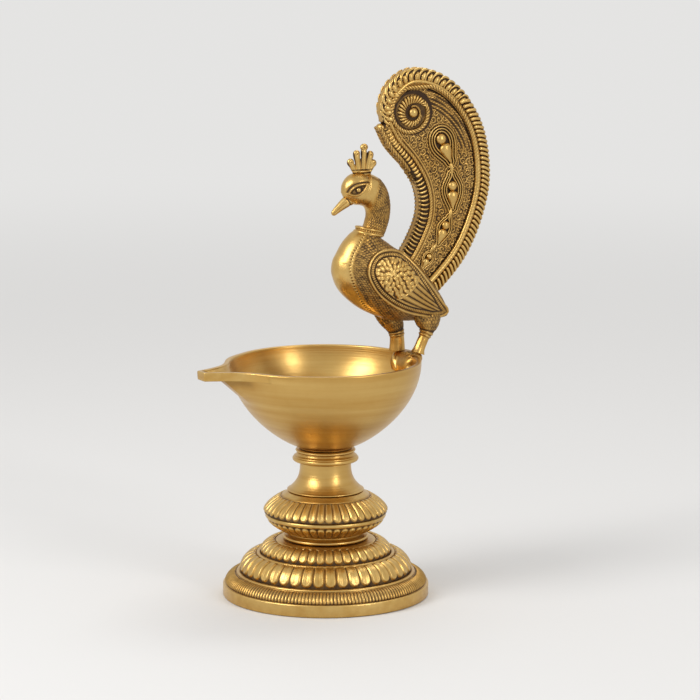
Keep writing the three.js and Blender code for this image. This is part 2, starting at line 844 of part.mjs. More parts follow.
function makeCrest() {
  const crown = neckStations[4];
  const crestBase = { x: crown.x + crestBehindCrown, z: crown.z + crown.half - crownSink };
  const base = new THREE.CylinderGeometry(1, 1, crestBaseHeight, 14);
  base.rotateX(Math.PI / 2);
  base.scale(crestBaseHalf, crestThickness / 1.6, 1);
  base.translate(crestBase.x, 0, perchTop + crestBase.z + crestBaseHeight / 2);
  const plumes = crestPlumes.map((plume) => {
    const tip = new THREE.Vector3(crestBase.x + plume.x, 0, crestBase.z + plume.z);
    const root = new THREE.Vector3(crestBase.x, 0, crestBase.z + crestBaseHeight / 2);
    const stations = [0, 0.45, 0.8, 1].map((share, i) => {
      const place = root.clone().lerp(tip, share);
      const size = plume.tip * [0.55, 0.75, 1, 0.6][i];
      return { x: place.x, z: place.z, half: size, wide: crestThickness / 2 };
    });
    const end = tip.clone().lerp(root, -0.08);
    end.z += perchTop;
    return limb(onPerch(stations), { sides: 8, steps: 1, point: end });
  });
  return joined([solidOf(base), ...plumes]).subtract(neckAndHead(fitGap));
}

// The space of one wing: a leaf-shaped slice of the trunk's side, enlarged by some clearance.
function wingSpace(side, extra) {
  const outline = smooth(wingOutline, perchTop, 36, true).slice(0, -1);
  const grown = outline.map((point, i) => {
    const before = outline[(i + outline.length - 1) % outline.length];
    const after = outline[(i + 1) % outline.length];
    const along = after.clone().sub(before).normalize();
    return new THREE.Vector2(point.x - along.y * extra, point.y + along.x * extra);
  });
  const reach = 24;
  const leaf = plate(grown, reach).translate([0, side * (reach / 2 + 1 - extra), 0]);
  return leaf.intersect(trunk(fitGap + wingThickness + extra));
}

// One wing: a leaf-shaped shell that follows the flank.
function makeWing(side) {
  return wingSpace(side, 0).subtract(trunk(fitGap));
}

function makeLeg(stations, side) {
  const y = side * legSpread;
  const floor = block([0, -rimRadius, 0], [2 * rimRadius, rimRadius, perchTop + fitGap]);
  return limb(onPerch(stations), { sides: 12, offset: y })
    .subtract(trunk(fitGap))
    .subtract(wingSpace(side, fitGap))
    .subtract(floor)
    .subtract(pinHole(stations, y, footPinRadius + fitGap));
}

// One eyespot: a drop with a round bead above it, showing on both faces of the tail.
function eyespot({ x, z, tilt, length, width }) {
  const drop = new THREE.SphereGeometry(1, 8, 5);
  drop.scale(width / 2, eyespotThickness / 2, length / 2);
  drop.translate(0, 0, -length / 4);
  const bead = new THREE.SphereGeometry(width / 3, 6, 4);
  bead.scale(1, (1.5 * eyespotThickness) / width, 1);
  bead.translate(0, 0, length / 2);
  const lean = THREE.MathUtils.degToRad(-tilt);
  return [drop, bead].map((geometry) => {
    geometry.rotateY(lean);
    geometry.translate(x, 0, perchTop + z);
    return solidOf(geometry);
  });
}

function makeTail() {
  const outer = smooth(tailOuterEdge, perchTop, 44);
  const inner = smooth(tailInnerEdge, perchTop, 18);
  const field = plate([...outer, ...inner.slice(1)], tailFieldThickness);
  const beforeNose = outer.slice(0, -6);
  const borders = [beforeNose, inner].map((edge) =>
    border(edge, tailBorderWidth, tailThickness, tailEdgeChamfer),
  );
  const half = scrollThickness / 2;
  const groove = half - 1.2;
  const scroll = turned(
    [
      [0, -half],
      [scrollBossRadius * 0.7, -half],
      [scrollBossRadius, -groove],
      [scrollBossRadius + 1, -groove],
      [(scrollBossRadius + scrollRadius) / 2, -half],
      [scrollRadius, -groove],
      [scrollRadius, groove],
      [(scrollBossRadius + scrollRadius) / 2, half],
      [scrollBossRadius + 1, groove],
      [scrollBossRadius, groove],
      [scrollBossRadius * 0.7, half],
      [0, half],
    ],
    20,
  )
    .rotate([90, 0, 0])
    .translate([scrollCentre.x, 0, perchTop + scrollCentre.z]);
  return joined([field, ...borders, scroll, ...eyespots.flatMap(eyespot)])
    .subtract(trunk(fitGap));
}

// Finishes
const brushedBrass = new THREE.MeshStandardMaterial({
  color: 0xb8904a,
  roughness: 0.32,
  metalness: 1,
});
const carvedBrass = new THREE.MeshStandardMaterial({
  color: 0xa07b3e,
  roughness: 0.42,
  metalness: 1,
});
const polishedBrass = new THREE.MeshStandardMaterial({
  color: 0xc49a52,
  roughness: 0.25,
  metalness: 1,
});
const platedSteel = new THREE.MeshStandardMaterial({
  color: 0x9a9a98,
  roughness: 0.4,
  metalness: 1,
});

// The lamp: every piece with its finish
const lamp = new THREE.Group();

function place(name, solid, material) {
  const mesh = new THREE.Mesh(geometryOf(solid), material);
  mesh.name = name;
  lamp.add(mesh);
}

function placeBird(name, solid, material) {
  place(name, solid.translate([birdX, 0, 0]), material);
}

place("foot", makeFoot(), carvedBrass);
place("tie_washer", makeTieWasher(), platedSteel);
place("tie_nut", makeTieNut(), platedSteel);
place("tie_rod", makeTieRod(), platedSteel);
place("knop", makeKnop(), carvedBrass);
place("stem", makeStem(), brushedBrass);
place("stem_collar", makeStemCollar(), brushedBrass);
place("bowl", makeBowl(), brushedBrass);
place("bowl_stud", makeBowlStud(), platedSteel);
place("perch", makePerch(), carvedBrass);
place("near_foot_pin", footPin(nearLegStations, -legSpread, footPinRadius), platedSteel);
place("far_foot_pin", footPin(farLegStations, legSpread, footPinRadius), platedSteel);
placeBird("near_leg", makeLeg(nearLegStations, -1), carvedBrass);
placeBird("far_leg", makeLeg(farLegStations, 1), carvedBrass);
placeBird("bird_body", makeBirdBody(), polishedBrass);
placeBird("near_wing", makeWing(-1), carvedBrass);
placeBird("far_wing", makeWing(1), carvedBrass);
placeBird("neck_band", makeNeckBand(), carvedBrass);
placeBird("bird_head", makeBirdHead(), polishedBrass);
placeBird("beak", makeBeak(), polishedBrass);
placeBird("crest", makeCrest(), carvedBrass);
placeBird("tail", makeTail(), carvedBrass);

// The lamp's box is centred over the origin, and the foot already stands on z = 0.
const middle = new THREE.Box3().setFromObject(lamp).getCenter(new THREE.Vector3());
lamp.position.set(-middle.x, -middle.y, 0);

export default lamp;
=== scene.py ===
import math

import bmesh
import bpy
import numpy as np
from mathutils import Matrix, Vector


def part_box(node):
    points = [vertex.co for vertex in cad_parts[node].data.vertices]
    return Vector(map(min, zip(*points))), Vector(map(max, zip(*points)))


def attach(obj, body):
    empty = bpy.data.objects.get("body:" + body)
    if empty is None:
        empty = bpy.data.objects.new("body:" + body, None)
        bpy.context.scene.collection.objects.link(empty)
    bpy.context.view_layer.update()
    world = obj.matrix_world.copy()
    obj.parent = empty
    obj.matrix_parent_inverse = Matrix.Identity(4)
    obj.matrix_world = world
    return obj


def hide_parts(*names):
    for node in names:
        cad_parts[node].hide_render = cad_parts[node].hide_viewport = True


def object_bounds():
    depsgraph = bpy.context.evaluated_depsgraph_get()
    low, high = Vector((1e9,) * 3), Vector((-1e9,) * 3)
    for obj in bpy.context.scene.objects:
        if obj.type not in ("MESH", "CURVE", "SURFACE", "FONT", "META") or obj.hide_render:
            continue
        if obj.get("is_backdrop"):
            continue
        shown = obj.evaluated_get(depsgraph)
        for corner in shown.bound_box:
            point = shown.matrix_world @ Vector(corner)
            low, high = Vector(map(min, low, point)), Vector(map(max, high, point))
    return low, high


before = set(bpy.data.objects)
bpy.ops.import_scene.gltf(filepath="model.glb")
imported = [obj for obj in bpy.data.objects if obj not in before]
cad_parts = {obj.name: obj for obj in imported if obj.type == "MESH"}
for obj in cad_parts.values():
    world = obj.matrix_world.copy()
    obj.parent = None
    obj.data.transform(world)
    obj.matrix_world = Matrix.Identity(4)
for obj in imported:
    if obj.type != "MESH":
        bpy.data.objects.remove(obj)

cad_low, cad_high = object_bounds()

# Camera, studio floor and light
# The camera stands where the photograph was taken from, to the left of the lamp's flat side.
# Heights and radii below are millimetres in the lamp's own frame, whose axis is the turned one.
MM = 0.001
stem_low, stem_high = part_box("stem")
axis_x = (stem_low[0] + stem_high[0]) / 2
aim_height = 0.1
scene = bpy.context.scene
scene.view_settings.view_transform = "Standard"

camera_distance = 1.366
camera_height = 0.344
camera_side = math.radians(-28)
camera_tilt = math.radians(9.9)
camera_pan = math.radians(0.4378)
camera_data = bpy.data.cameras.new("camera")
camera_data.lens = 168.27
camera_data.sensor_width = 36
camera = bpy.data.objects.new("camera", camera_data)
camera.location = (
    axis_x + camera_distance * math.sin(camera_side),
    -camera_distance * math.cos(camera_side),
    camera_height,
)
camera.rotation_euler = (math.pi / 2 - camera_tilt, 0, camera_side - camera_pan)
scene.collection.objects.link(camera)
scene.camera = camera


def node(tree, kind, inputs=(), **settings):
    """A node with its settings; an input given as a socket is linked, and a plain value is set."""
    made = tree.nodes.new(kind)
    for name, value in settings.items():
        setattr(made, name, value)
    for key, value in dict(inputs).items():
        if isinstance(value, bpy.types.NodeSocket):
            tree.links.new(value, made.inputs[key])
        else:
            made.inputs[key].default_value = value
    return made


def reckon(tree, operation, *terms):
    """The result of an operation on sockets or plain values."""
    return node(tree, "ShaderNodeMath", dict(enumerate(terms)), operation=operation).outputs[0]


def ranged(tree, value, start, end, low=0, high=1, shape="LINEAR"):
    """A value that goes from low to high while the given one goes from start to end."""
    inputs = {"Value": value, "From Min": start, "From Max": end, "To Min": low, "To Max": high}
    return node(tree, "ShaderNodeMapRange", inputs, interpolation_type=shape).outputs[0]


def seen_rays(tree):
    """One where the ray is the camera's own, or a reflection or refraction of it."""
    rays = node(tree, "ShaderNodeLightPath").outputs
    seen = reckon(tree, "MAXIMUM", rays["Is Camera Ray"], rays["Is Glossy Ray"])
    return reckon(tree, "MAXIMUM", seen, rays["Is Transmission Ray"])


pale = (0.78, 0.775, 0.765, 1)
floor_colour = (0.74, 0.735, 0.725, 1)
floor_radius = 12
floor_sides = 64
floor_height = -0.0002
fade_start, fade_end = 0.3, 1.5
floor_mesh = bpy.data.meshes.new("floor")
floor_rim = []
for side in range(floor_sides):
    turn = 2 * math.pi * side / floor_sides
    floor_rim.append((floor_radius * math.cos(turn), floor_radius * math.sin(turn), floor_height))
floor_mesh.from_pydata(floor_rim, [], [list(range(floor_sides))])
floor = bpy.data.objects.new("floor", floor_mesh)
scene.collection.objects.link(floor)
floor_paint = bpy.data.materials.new("pale_floor")
floor_paint.use_nodes = True
floor_tree = floor_paint.node_tree
floor_shader = floor_tree.nodes["Principled BSDF"]
floor_shader.inputs["Base Color"].default_value = floor_colour
floor_shader.inputs["Roughness"].default_value = 0.85
floor_place = node(floor_tree, "ShaderNodeTexCoord").outputs["Object"]
far_out = node(floor_tree, "ShaderNodeVectorMath", {0: floor_place}, operation="LENGTH")
fade = ranged(floor_tree, far_out.outputs["Value"], fade_start, fade_end, shape="SMOOTHSTEP")
fade = reckon(floor_tree, "MULTIPLY", fade, seen_rays(floor_tree))
glow = node(floor_tree, "ShaderNodeEmission", {"Color": pale, "Strength": 1})
floor_look = node(
    floor_tree, "ShaderNodeMixShader", {0: fade, 1: floor_shader.outputs[0], 2: glow.outputs[0]}
)
floor_tree.links.new(floor_look.outputs[0], floor_tree.nodes["Material Output"].inputs["Surface"])
floor_mesh.materials.append(floor_paint)
floor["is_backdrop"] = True

world = bpy.data.worlds.new("studio")
scene.world = world
world.use_nodes = True
world_tree = world.node_tree
world_tree.nodes.clear()
ambient = node(world_tree, "ShaderNodeBackground", {"Color": (1, 0.99, 0.98, 1), "Strength": 0.6})
backdrop = node(world_tree, "ShaderNodeBackground", {"Color": pale, "Strength": 1})
sky = node(
    world_tree,
    "ShaderNodeMixShader",
    {0: seen_rays(world_tree), 1: ambient.outputs[0], 2: backdrop.outputs[0]},
)
node(world_tree, "ShaderNodeOutputWorld", {"Surface": sky.outputs[0]})


def softbox(name, side, rise, distance, width, height, power):
    """An area light aimed at the lamp, at an angle to the side of the camera and above it."""
    data = bpy.data.lights.new(name, "AREA")
    data.shape = "RECTANGLE"
    data.size = width
    data.size_y = height
    data.energy = power
    lamp_light = bpy.data.objects.new(name, data)
    turn = camera_side + math.radians(side)
    lift = math.radians(rise)
    lamp_light.location = (
        axis_x + distance * math.sin(turn) * math.cos(lift),
        -distance * math.cos(turn) * math.cos(lift),
        aim_height + distance * math.sin(lift),
    )
    lamp_light.rotation_euler = (math.pi / 2 - lift, 0, turn)
    scene.collection.objects.link(lamp_light)


softbox("key_softbox", -58, 36, 1.2, 0.5, 0.7, 8)
softbox("strip_softbox", 46, 24, 1.2, 0.12, 0.8, 3.4)
softbox("top_softbox", 150, 62, 1.3, 0.7, 0.5, 3.5)

# Foot: the widest casting of the lamp
# Brass, cast hollow, then turned. A plain rim band carries one fine-fluted tier and two tiers of
# tongue petals, whose gaps are left dark with old polish while their faces are rubbed bright.
petal_count = 44
petal_columns = 16


def arc(centre, radii, start, end, steps):
    """Points on an elliptic arc in the (radius, height) plane, between two angles in degrees."""
    angles = np.radians(np.linspace(start, end, steps + 1))
    across = centre[0] + radii[0] * np.cos(angles)
    return np.column_stack([across, centre[1] + radii[1] * np.sin(angles)])


def line(start, end, steps=1):
    """Evenly spaced points on a straight line."""
    return np.linspace(start, end, steps + 1)


def ease(value):
    """A smooth step from 0 to 1."""
    value = np.clip(value, 0, 1)
    return value * value * (3 - 2 * value)


def mound(away, half, power=2):
    """A rounded hump of height 1, which has fallen to about a third at its half-width."""
    return np.exp(-((away / half) ** power))


def plain(tone):
    """A stretch without carving, whose tone says how bright it is rubbed."""
    return lambda across, along, length, pitch: (0 * across, 0 * across + tone)


def tongue(height, start=0.5, end=0.4, upside_down=False):
    """One petal of a tier: a long tongue with a rounded end, a bright rim and a dished face."""

    def pattern(across, along, length, pitch):
        if upside_down:
            along = length - along
        half = pitch * 0.455
        middle = start + half
        side = half - np.abs(across)
        inset = np.where(along < middle, half - np.hypot(across, along - middle), side)
        inset = np.minimum(inset, length - end - along)
        face = ease(inset / 0.55)
        rim = mound(inset - 0.6, 0.3)
        vein = mound(across, 0.25) * ease(inset - 0.6)
        tone = 0.17 + 0.83 * ease((inset + 0.15) / 0.5) - 0.15 * vein
        return height * (face + 0.16 * rim - 0.1 * vein), tone

    return pattern


def flutes(height, number):
    """Fine upright flutes, a number of them to each petal of the tiers above."""

    def pattern(across, along, length, pitch):
        wave = 0.5 + 0.5 * np.cos(2 * math.pi * number * across / pitch)
        ends = ease(along / 0.9) * ease((length - along) / 0.7)
        return height * wave * ends, 0.15 + 0.85 * wave * ends

    return pattern


def grid_faces(rows, columns, wrap_rows=False, wrap_columns=False):
    """Quads of a grid of points, closed on itself one way, both ways or not at all."""
    down = np.arange(rows if wrap_rows else rows - 1)
    over = np.arange(columns if wrap_columns else columns - 1)
    row, column = np.meshgrid(down, over, indexing="ij")
    below, beside = (row + 1) % rows, (column + 1) % columns
    corners = (row * columns + column, row * columns + beside)
    corners += (below * columns + beside, below * columns + column)
    return np.stack(corners, -1).reshape(-1, 4).tolist()


def give_relief(mesh, relief):
    """Keeps how high the carving stands at each point, from 0 in a recess to 1 on a ridge."""
    layer = mesh.attributes.get("relief") or mesh.attributes.new("relief", "FLOAT", "POINT")
    layer.data.foreach_set("value", np.broadcast_to(relief, len(mesh.vertices)).astype(np.float32))


def make_mesh(name, points, faces, relief, origin=axis_x):
    """An object with the points, in millimetres from the lamp's axis, and their relief."""
    places = np.array(points, dtype=float) * MM
    places[:, 0] += origin
    mesh = bpy.data.meshes.new(name)
    mesh.from_pydata(places.tolist(), [], faces)
    give_relief(mesh, relief)
    piece = bpy.data.objects.new(name, mesh)
    scene.collection.objects.link(piece)
    return piece


def close_up(piece):
    """Merges doubled points, turns the faces outward and shades them smooth."""
    work = bmesh.new()
    work.from_mesh(piece.data)
    bmesh.ops.remove_doubles(work, verts=work.verts, dist=1e-6)
    bmesh.ops.recalc_face_normals(work, faces=work.faces)
    work.to_mesh(piece.data)
    work.free()
    piece.data.shade_smooth()


def new_group(name, kind, inputs, outputs):
    """A node group with its sockets, each given as a name and a kind."""
    tree = bpy.data.node_groups.new(name, kind)
    for way, sockets in (("INPUT", inputs), ("OUTPUT", outputs)):
        for label, sort in sockets:
            tree.interface.new_socket(label, in_out=way, socket_type="NodeSocket" + sort)
    return tree


def ring_tree():
    """Repeats one slice round the lamp's axis and welds the slices into a ring."""
    inputs = (("Slice", "Geometry"), ("Slices", "Int"), ("Axis", "Vector"), ("Metal", "Material"))
    tree = new_group("repeat_round_axis", "GeometryNodeTree", inputs, [("Ring", "Geometry")])
    given = node(tree, "NodeGroupInput").outputs
    away = node(tree, "ShaderNodeVectorMath", {0: given["Axis"], "Scale": -1}, operation="SCALE")
    centred = node(
        tree, "GeometryNodeTransform", {"Geometry": given["Slice"], "Translation": away.outputs[0]}
    )
    points = node(
        tree,
        "GeometryNodeMeshLine",
        {"Count": given["Slices"], "Start Location": given["Axis"], "Offset": (0, 0, 0)},
    )
    step = reckon(tree, "DIVIDE", 2 * math.pi, given["Slices"])
    angle = reckon(tree, "MULTIPLY", node(tree, "GeometryNodeInputIndex").outputs[0], step)
    turn = node(tree, "ShaderNodeCombineXYZ", {"Z": angle})
    turn = node(tree, "FunctionNodeEulerToRotation", {0: turn.outputs[0]})
    copies = node(
        tree,
        "GeometryNodeInstanceOnPoints",
        {"Points": points.outputs[0], "Instance": centred.outputs[0], "Rotation": turn.outputs[0]},
    )
    real = node(tree, "GeometryNodeRealizeInstances", {0: copies.outputs[0]})
    near = 0.002 * MM
    welded = node(tree, "GeometryNodeMergeByDistance", {"Geometry": real.outputs[0], "Distance": near})
    coated = node(
        tree, "GeometryNodeSetMaterial", {"Geometry": welded.outputs[0], "Material": given["Metal"]}
    )
    node(tree, "NodeGroupOutput", {0: coated.outputs[0]})
    return tree


def grow(piece, tree, values):
    """Runs a geometry tree on an object with the named values and keeps the result as its mesh."""
    modifier = piece.modifiers.new(tree.name, "NODES")
    modifier.node_group = tree
    for socket in tree.interface.items_tree:
        if socket.in_out == "INPUT" and socket.name in values:
            modifier[socket.identifier] = values[socket.name]
    piece.update_tag()
    graph = bpy.context.evaluated_depsgraph_get()
    grown = bpy.data.meshes.new_from_object(piece.evaluated_get(graph))
    piece.modifiers.clear()
    piece.data = grown
    close_up(piece)


repeat_round_axis = ring_tree()


def turned_piece(name, zones, count, columns, metal):
    """A turned piece from zones of its profile, which together run once round its section."""
    places, patterns = [], []
    for points, pattern in zones:
        if places and np.allclose(places[-1][-1], points[0]):
            points = points[1:]
        places.append(points)
        patterns.append(pattern)
    profile = np.vstack(places)
    if np.allclose(profile[0], profile[-1]):
        profile = profile[:-1]
        places[-1] = places[-1][:-1]
    before, after = np.roll(profile, 1, 0), np.roll(profile, -1, 0)
    course = after - before
    outward = np.column_stack([course[:, 1], -course[:, 0]])
    outward /= np.linalg.norm(outward, axis=1)[:, None]
    share = np.linspace(-0.5, 0.5, columns + 1)
    pitch = 2 * math.pi * profile[:, 0] / count
    lift = np.zeros((len(profile), columns + 1))
    relief = np.zeros_like(lift)
    row = 0
    for points, pattern in zip(places, patterns):
        rows = slice(row, row + len(points))
        steps = np.linalg.norm(np.diff(points, axis=0, prepend=points[:1]), axis=1)
        along = np.cumsum(steps)[:, None] + 0 * share
        across = pitch[rows, None] * share
        lift[rows], relief[rows] = pattern(across, along, along[-1, 0], pitch[rows, None] + 0 * share)
        row += len(points)
    radius = profile[:, :1] + lift * outward[:, :1]
    height = profile[:, 1:] + lift * outward[:, 1:]
    angle = 2 * math.pi * share / count
    grid = np.stack([radius * np.cos(angle), radius * np.sin(angle), height], -1)
    faces = grid_faces(len(profile), columns + 1, wrap_rows=True)
    piece = make_mesh(name, grid.reshape(-1, 3), faces, relief.reshape(-1))
    values = {"Slices": count, "Axis": (axis_x, 0, 0), "Metal": metal}
    grow(piece, repeat_round_axis, values)
    return piece


def noise(tree, place, scale, detail):
    """A cloudy value at a place."""
    inputs = {"Vector": place, "Scale": scale, "Detail": detail}
    return node(tree, "ShaderNodeTexNoise", inputs).outputs[0]


def tinted(tree, amount, first, second, blend="MIX"):
    """The first colour changed by the second, by an amount and in the named way."""
    inputs = {0: amount, 6: first, 7: second}
    return node(tree, "ShaderNodeMix", inputs, data_type="RGBA", blend_type=blend).outputs[2]


def patina_and_highlight_group():
    """Old polish that stays in recesses, and ridges rubbed bright with a painted highlight on the
    highest relief: it gives the colour, where the film lies, and a grain.
    """
    inputs = [(name, "Float") for name in ("Relief", "Cover", "Wear")]
    inputs += [("Metal", "Color"), ("Film Colour", "Color"), ("Place", "Vector")]
    outputs = (("Colour", "Color"), ("Film", "Float"), ("Grain", "Float"))
    tree = new_group("patina_and_highlight", "ShaderNodeTree", inputs, outputs)
    given = node(tree, "NodeGroupInput").outputs
    blotch = noise(tree, given["Place"], 320, 4)
    cast = noise(tree, given["Place"], 1700, 2)
    cloud = noise(tree, given["Place"], 55, 3)
    ragged = reckon(tree, "MULTIPLY_ADD", blotch, 0.5, -0.25)
    ragged = reckon(tree, "MULTIPLY", ragged, given["Wear"])
    edge = reckon(tree, "ADD", given["Relief"], ragged)
    film = ranged(tree, edge, 0.75, 0.05, shape="SMOOTHSTEP")
    film = reckon(tree, "MULTIPLY", film, given["Cover"])
    aged_tint = (0.88, 0.80, 0.62, 1)
    warm = ranged(tree, cloud, 0.35, 0.65, 0, given["Wear"])
    deeper = tinted(tree, warm, given["Metal"], aged_tint, "MULTIPLY")
    # Ridges rubbed bright: partly real wear, partly a painted highlight screened over the highest
    # relief.
    rubbed_and_highlight_tint = (0.85, 0.6, 0.22, 1)
    rubbed_and_highlight = ranged(tree, edge, 0.7, 1.1, 0, 0.35)
    bright = tinted(tree, rubbed_and_highlight, deeper, rubbed_and_highlight_tint, "SCREEN")
    colour = tinted(tree, film, bright, given["Film Colour"])
    node(tree, "NodeGroupOutput", {0: colour, 1: film, 2: reckon(tree, "ADD", cast, blotch)})
    return tree


patina_and_highlight = patina_and_highlight_group()


def carved_metal(name, metal, film, cover, polish, bump, wear=1.0):
    """Carved brass: ridges rubbed bright with a painted highlight, dark recesses and a cast grain."""
    material = bpy.data.materials.new(name)
    material.use_nodes = True
    tree = material.node_tree
    shader = tree.nodes["Principled BSDF"]
    values = {"Cover": cover, "Wear": wear, "Metal": metal, "Film Colour": film}
    values["Place"] = node(tree, "ShaderNodeTexCoord").outputs["Object"]
    values["Relief"] = node(tree, "ShaderNodeAttribute", attribute_name="relief").outputs["Fac"]
    aged_and_highlight = node(tree, "ShaderNodeGroup", values, node_tree=patina_and_highlight).outputs
    film_roughness = 0.62
    film_metal = 0.55
    grain_depth = 0.0002
    dents = {"Height": aged_and_highlight["Grain"], "Strength": bump, "Distance": grain_depth}
    for socket, value in (
        ("Base Color", aged_and_highlight["Colour"]),
        ("Roughness", ranged(tree, aged_and_highlight["Film"], 0, 1, polish, film_roughness)),
        ("Metallic", ranged(tree, aged_and_highlight["Film"], 0, 1, 1, film_metal)),
        ("Normal", node(tree, "ShaderNodeBump", dents).outputs[0]),
    ):
        tree.links.new(value, shader.inputs[socket])
    return material


def spun_group():
    """Fine lines that a lathe leaves round the lamp's axis, as a height, and broader bands."""
    outputs = (("Lines", "Float"), ("Bands", "Float"))
    tree = new_group("spun_lines", "ShaderNodeTree", [("Place", "Vector")], outputs)
    place = node(tree, "NodeGroupInput").outputs["Place"]
    vectors = "ShaderNodeVectorMath"
    centred = node(tree, vectors, {0: place, 1: (axis_x, 0, 0)}, operation="SUBTRACT")
    parts = node(tree, "ShaderNodeSeparateXYZ", {0: centred.outputs[0]}).outputs
    level = node(tree, "ShaderNodeCombineXYZ", {0: parts[0], 1: parts[1]}).outputs[0]
    reach = node(tree, vectors, {0: level}, operation="LENGTH").outputs["Value"]
    heading = node(tree, vectors, {0: level}, operation="NORMALIZE").outputs[0]
    found = []
    for fineness, drift in ((2400, 0.9), (300, 0.5)):
        rise = node(tree, "ShaderNodeCombineXYZ", {0: reach, 2: parts[2]}).outputs[0]
        rise = node(tree, vectors, {0: rise, "Scale": fineness}, operation="SCALE").outputs[0]
        onward = node(tree, vectors, {0: heading, "Scale": drift}, operation="SCALE").outputs[0]
        both = node(tree, vectors, {0: rise, 1: onward}, operation="ADD")
        found.append(noise(tree, both.outputs[0], 1, 2))
    node(tree, "NodeGroupOutput", dict(enumerate(found)))
    return tree


spun = spun_group()


def smooth_metal(name, metal, film, polish):
    """Lathe-brushed brass: fine lines round the axis in the normal, broad ones in the colour."""
    material = carved_metal(name, metal, film, 0.75, polish, 0.05, 0.2)
    tree = material.node_tree
    shader = tree.nodes["Principled BSDF"]
    place = node(tree, "ShaderNodeTexCoord").outputs["Object"]
    lathe = node(tree, "ShaderNodeGroup", {"Place": place}, node_tree=spun).outputs
    line_depth = 0.00015
    lines = {"Height": lathe["Lines"], "Strength": 0.5, "Distance": line_depth}
    tree.links.new(node(tree, "ShaderNodeBump", lines).outputs[0], shader.inputs["Normal"])
    band_tint = (0.80, 0.66, 0.44, 1)
    deep = ranged(tree, lathe["Bands"], 0.3, 0.7, 0, 0.6)
    colour = shader.inputs["Base Color"].links[0].from_socket
    banded = tinted(tree, deep, colour, band_tint, "MULTIPLY")
    tree.links.new(banded, shader.inputs["Base Color"])
    return material


brass = (0.54, 0.325, 0.098, 1)
dark_film = (0.045, 0.021, 0.007, 1)
carved_brass = carved_metal("carved_brass", brass, dark_film, 1, 0.33, 0.22)

foot_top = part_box("foot")[1][2] / MM
foot_radius = 44
foot_inner = 40.8
tier_one = 5.2
tier_two = 9.8
tier_three = 17.8
foot_zones = [
    (line((foot_inner, 0), (43.6, 0), 1), plain(0.6)),
    (arc((43.6, 0.4), (0.4, 0.4), -90, 0, 3), plain(0.9)),
    (line((foot_radius, 0.4), (foot_radius, 4.7), 2), plain(0.92)),
    (arc((43.5, 4.7), (0.5, 0.5), 0, 90, 4), plain(1)),
    (line((43.5, tier_one), (42.6, tier_one - 0.1), 1), plain(0.3)),
    (arc((37.4, tier_one), (5.4, 4.2), 0, 78, 22), flutes(0.5, 4)),
    (arc((37.2, 9.7), (1.0, 0.7), -40, 180, 9), plain(0.9)),
    (arc((35.7, 9.8), (0.55, 0.45), 180, 320, 4), plain(0.35)),
    (arc((29.0, tier_two), (7.3, 7.9), 4, 84, 29), tongue(0.75, 0.5, 0.15)),
    (arc((28.7, tier_three), (0.95, 0.7), -30, 180, 9), plain(0.9)),
    (arc((27.3, tier_three), (0.45, 0.4), 180, 320, 4), plain(0.35)),
    (arc((20.9, tier_three), (6.8, 5.7), 6, 84, 24), tongue(0.6, 0.4, 0.1)),
    (arc((20.6, 23.2), (0.9, 0.7), -20, 90, 7), plain(0.95)),
    (line((20.6, 23.9), (18.2, foot_top), 2), plain(0.8)),
    (line((18.2, foot_top), (7.3, foot_top), 1), plain(0.5)),
    (line((7.3, foot_top), (7.3, foot_top - 4), 1), plain(0.5)),
    (line((7.3, foot_top - 4), (17.4, foot_top - 4), 1), plain(0.3)),
    (line((17.4, foot_top - 4), (24.8, tier_three), 1), plain(0.3)),
    (line((24.8, tier_three), (33.4, tier_two), 1), plain(0.3)),
    (line((33.4, tier_two), (foot_inner, tier_one), 1), plain(0.3)),
    (line((foot_inner, tier_one), (foot_inner, 0), 2), plain(0.4)),
]
foot = turned_piece("foot_casting", foot_zones, petal_count, petal_columns, carved_brass)
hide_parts("foot")
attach(foot, "stand")

# Tie rod, washer and nut: the hidden clamp
# A steel rod runs up through the foot, the knop and the stem. Its washer and nut draw the three
# together from under the foot, so they show only when the lamp is turned over.
steel = carved_metal("plated_steel", (0.42, 0.41, 0.39, 1), (0.12, 0.11, 0.1, 1), 0.6, 0.35, 0.1)


def plate(node_names):
    """Gives hidden parts, which keep their CAD shape, their plated steel."""
    for name in node_names:
        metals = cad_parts[name].data.materials
        metals.clear()
        metals.append(steel)


plate(["tie_rod", "tie_washer", "tie_nut"])

# Knop: two petalled bells round a plain band
# One brass casting that sits on the foot. The upper bell has long tongues with their round ends
# outward and a smooth sloping collar above them, and the lower bell has short ones in deep shade.
knop_bottom = foot_top + 0.3
knop_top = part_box("knop")[1][2] / MM
knop_radius = 26.6
band_low = knop_bottom + 8.9
band_high = band_low + 2.5


def bell(start_radius, end_radius, low, high, power, steps):
    """A bell's profile, steep at its start and flat at its end or the other way round."""
    share = np.linspace(0, 1, steps + 1)
    swell = 1 - (1 - share) ** power
    radius = start_radius + (end_radius - start_radius) * swell
    return np.column_stack([radius, low + (high - low) * share])


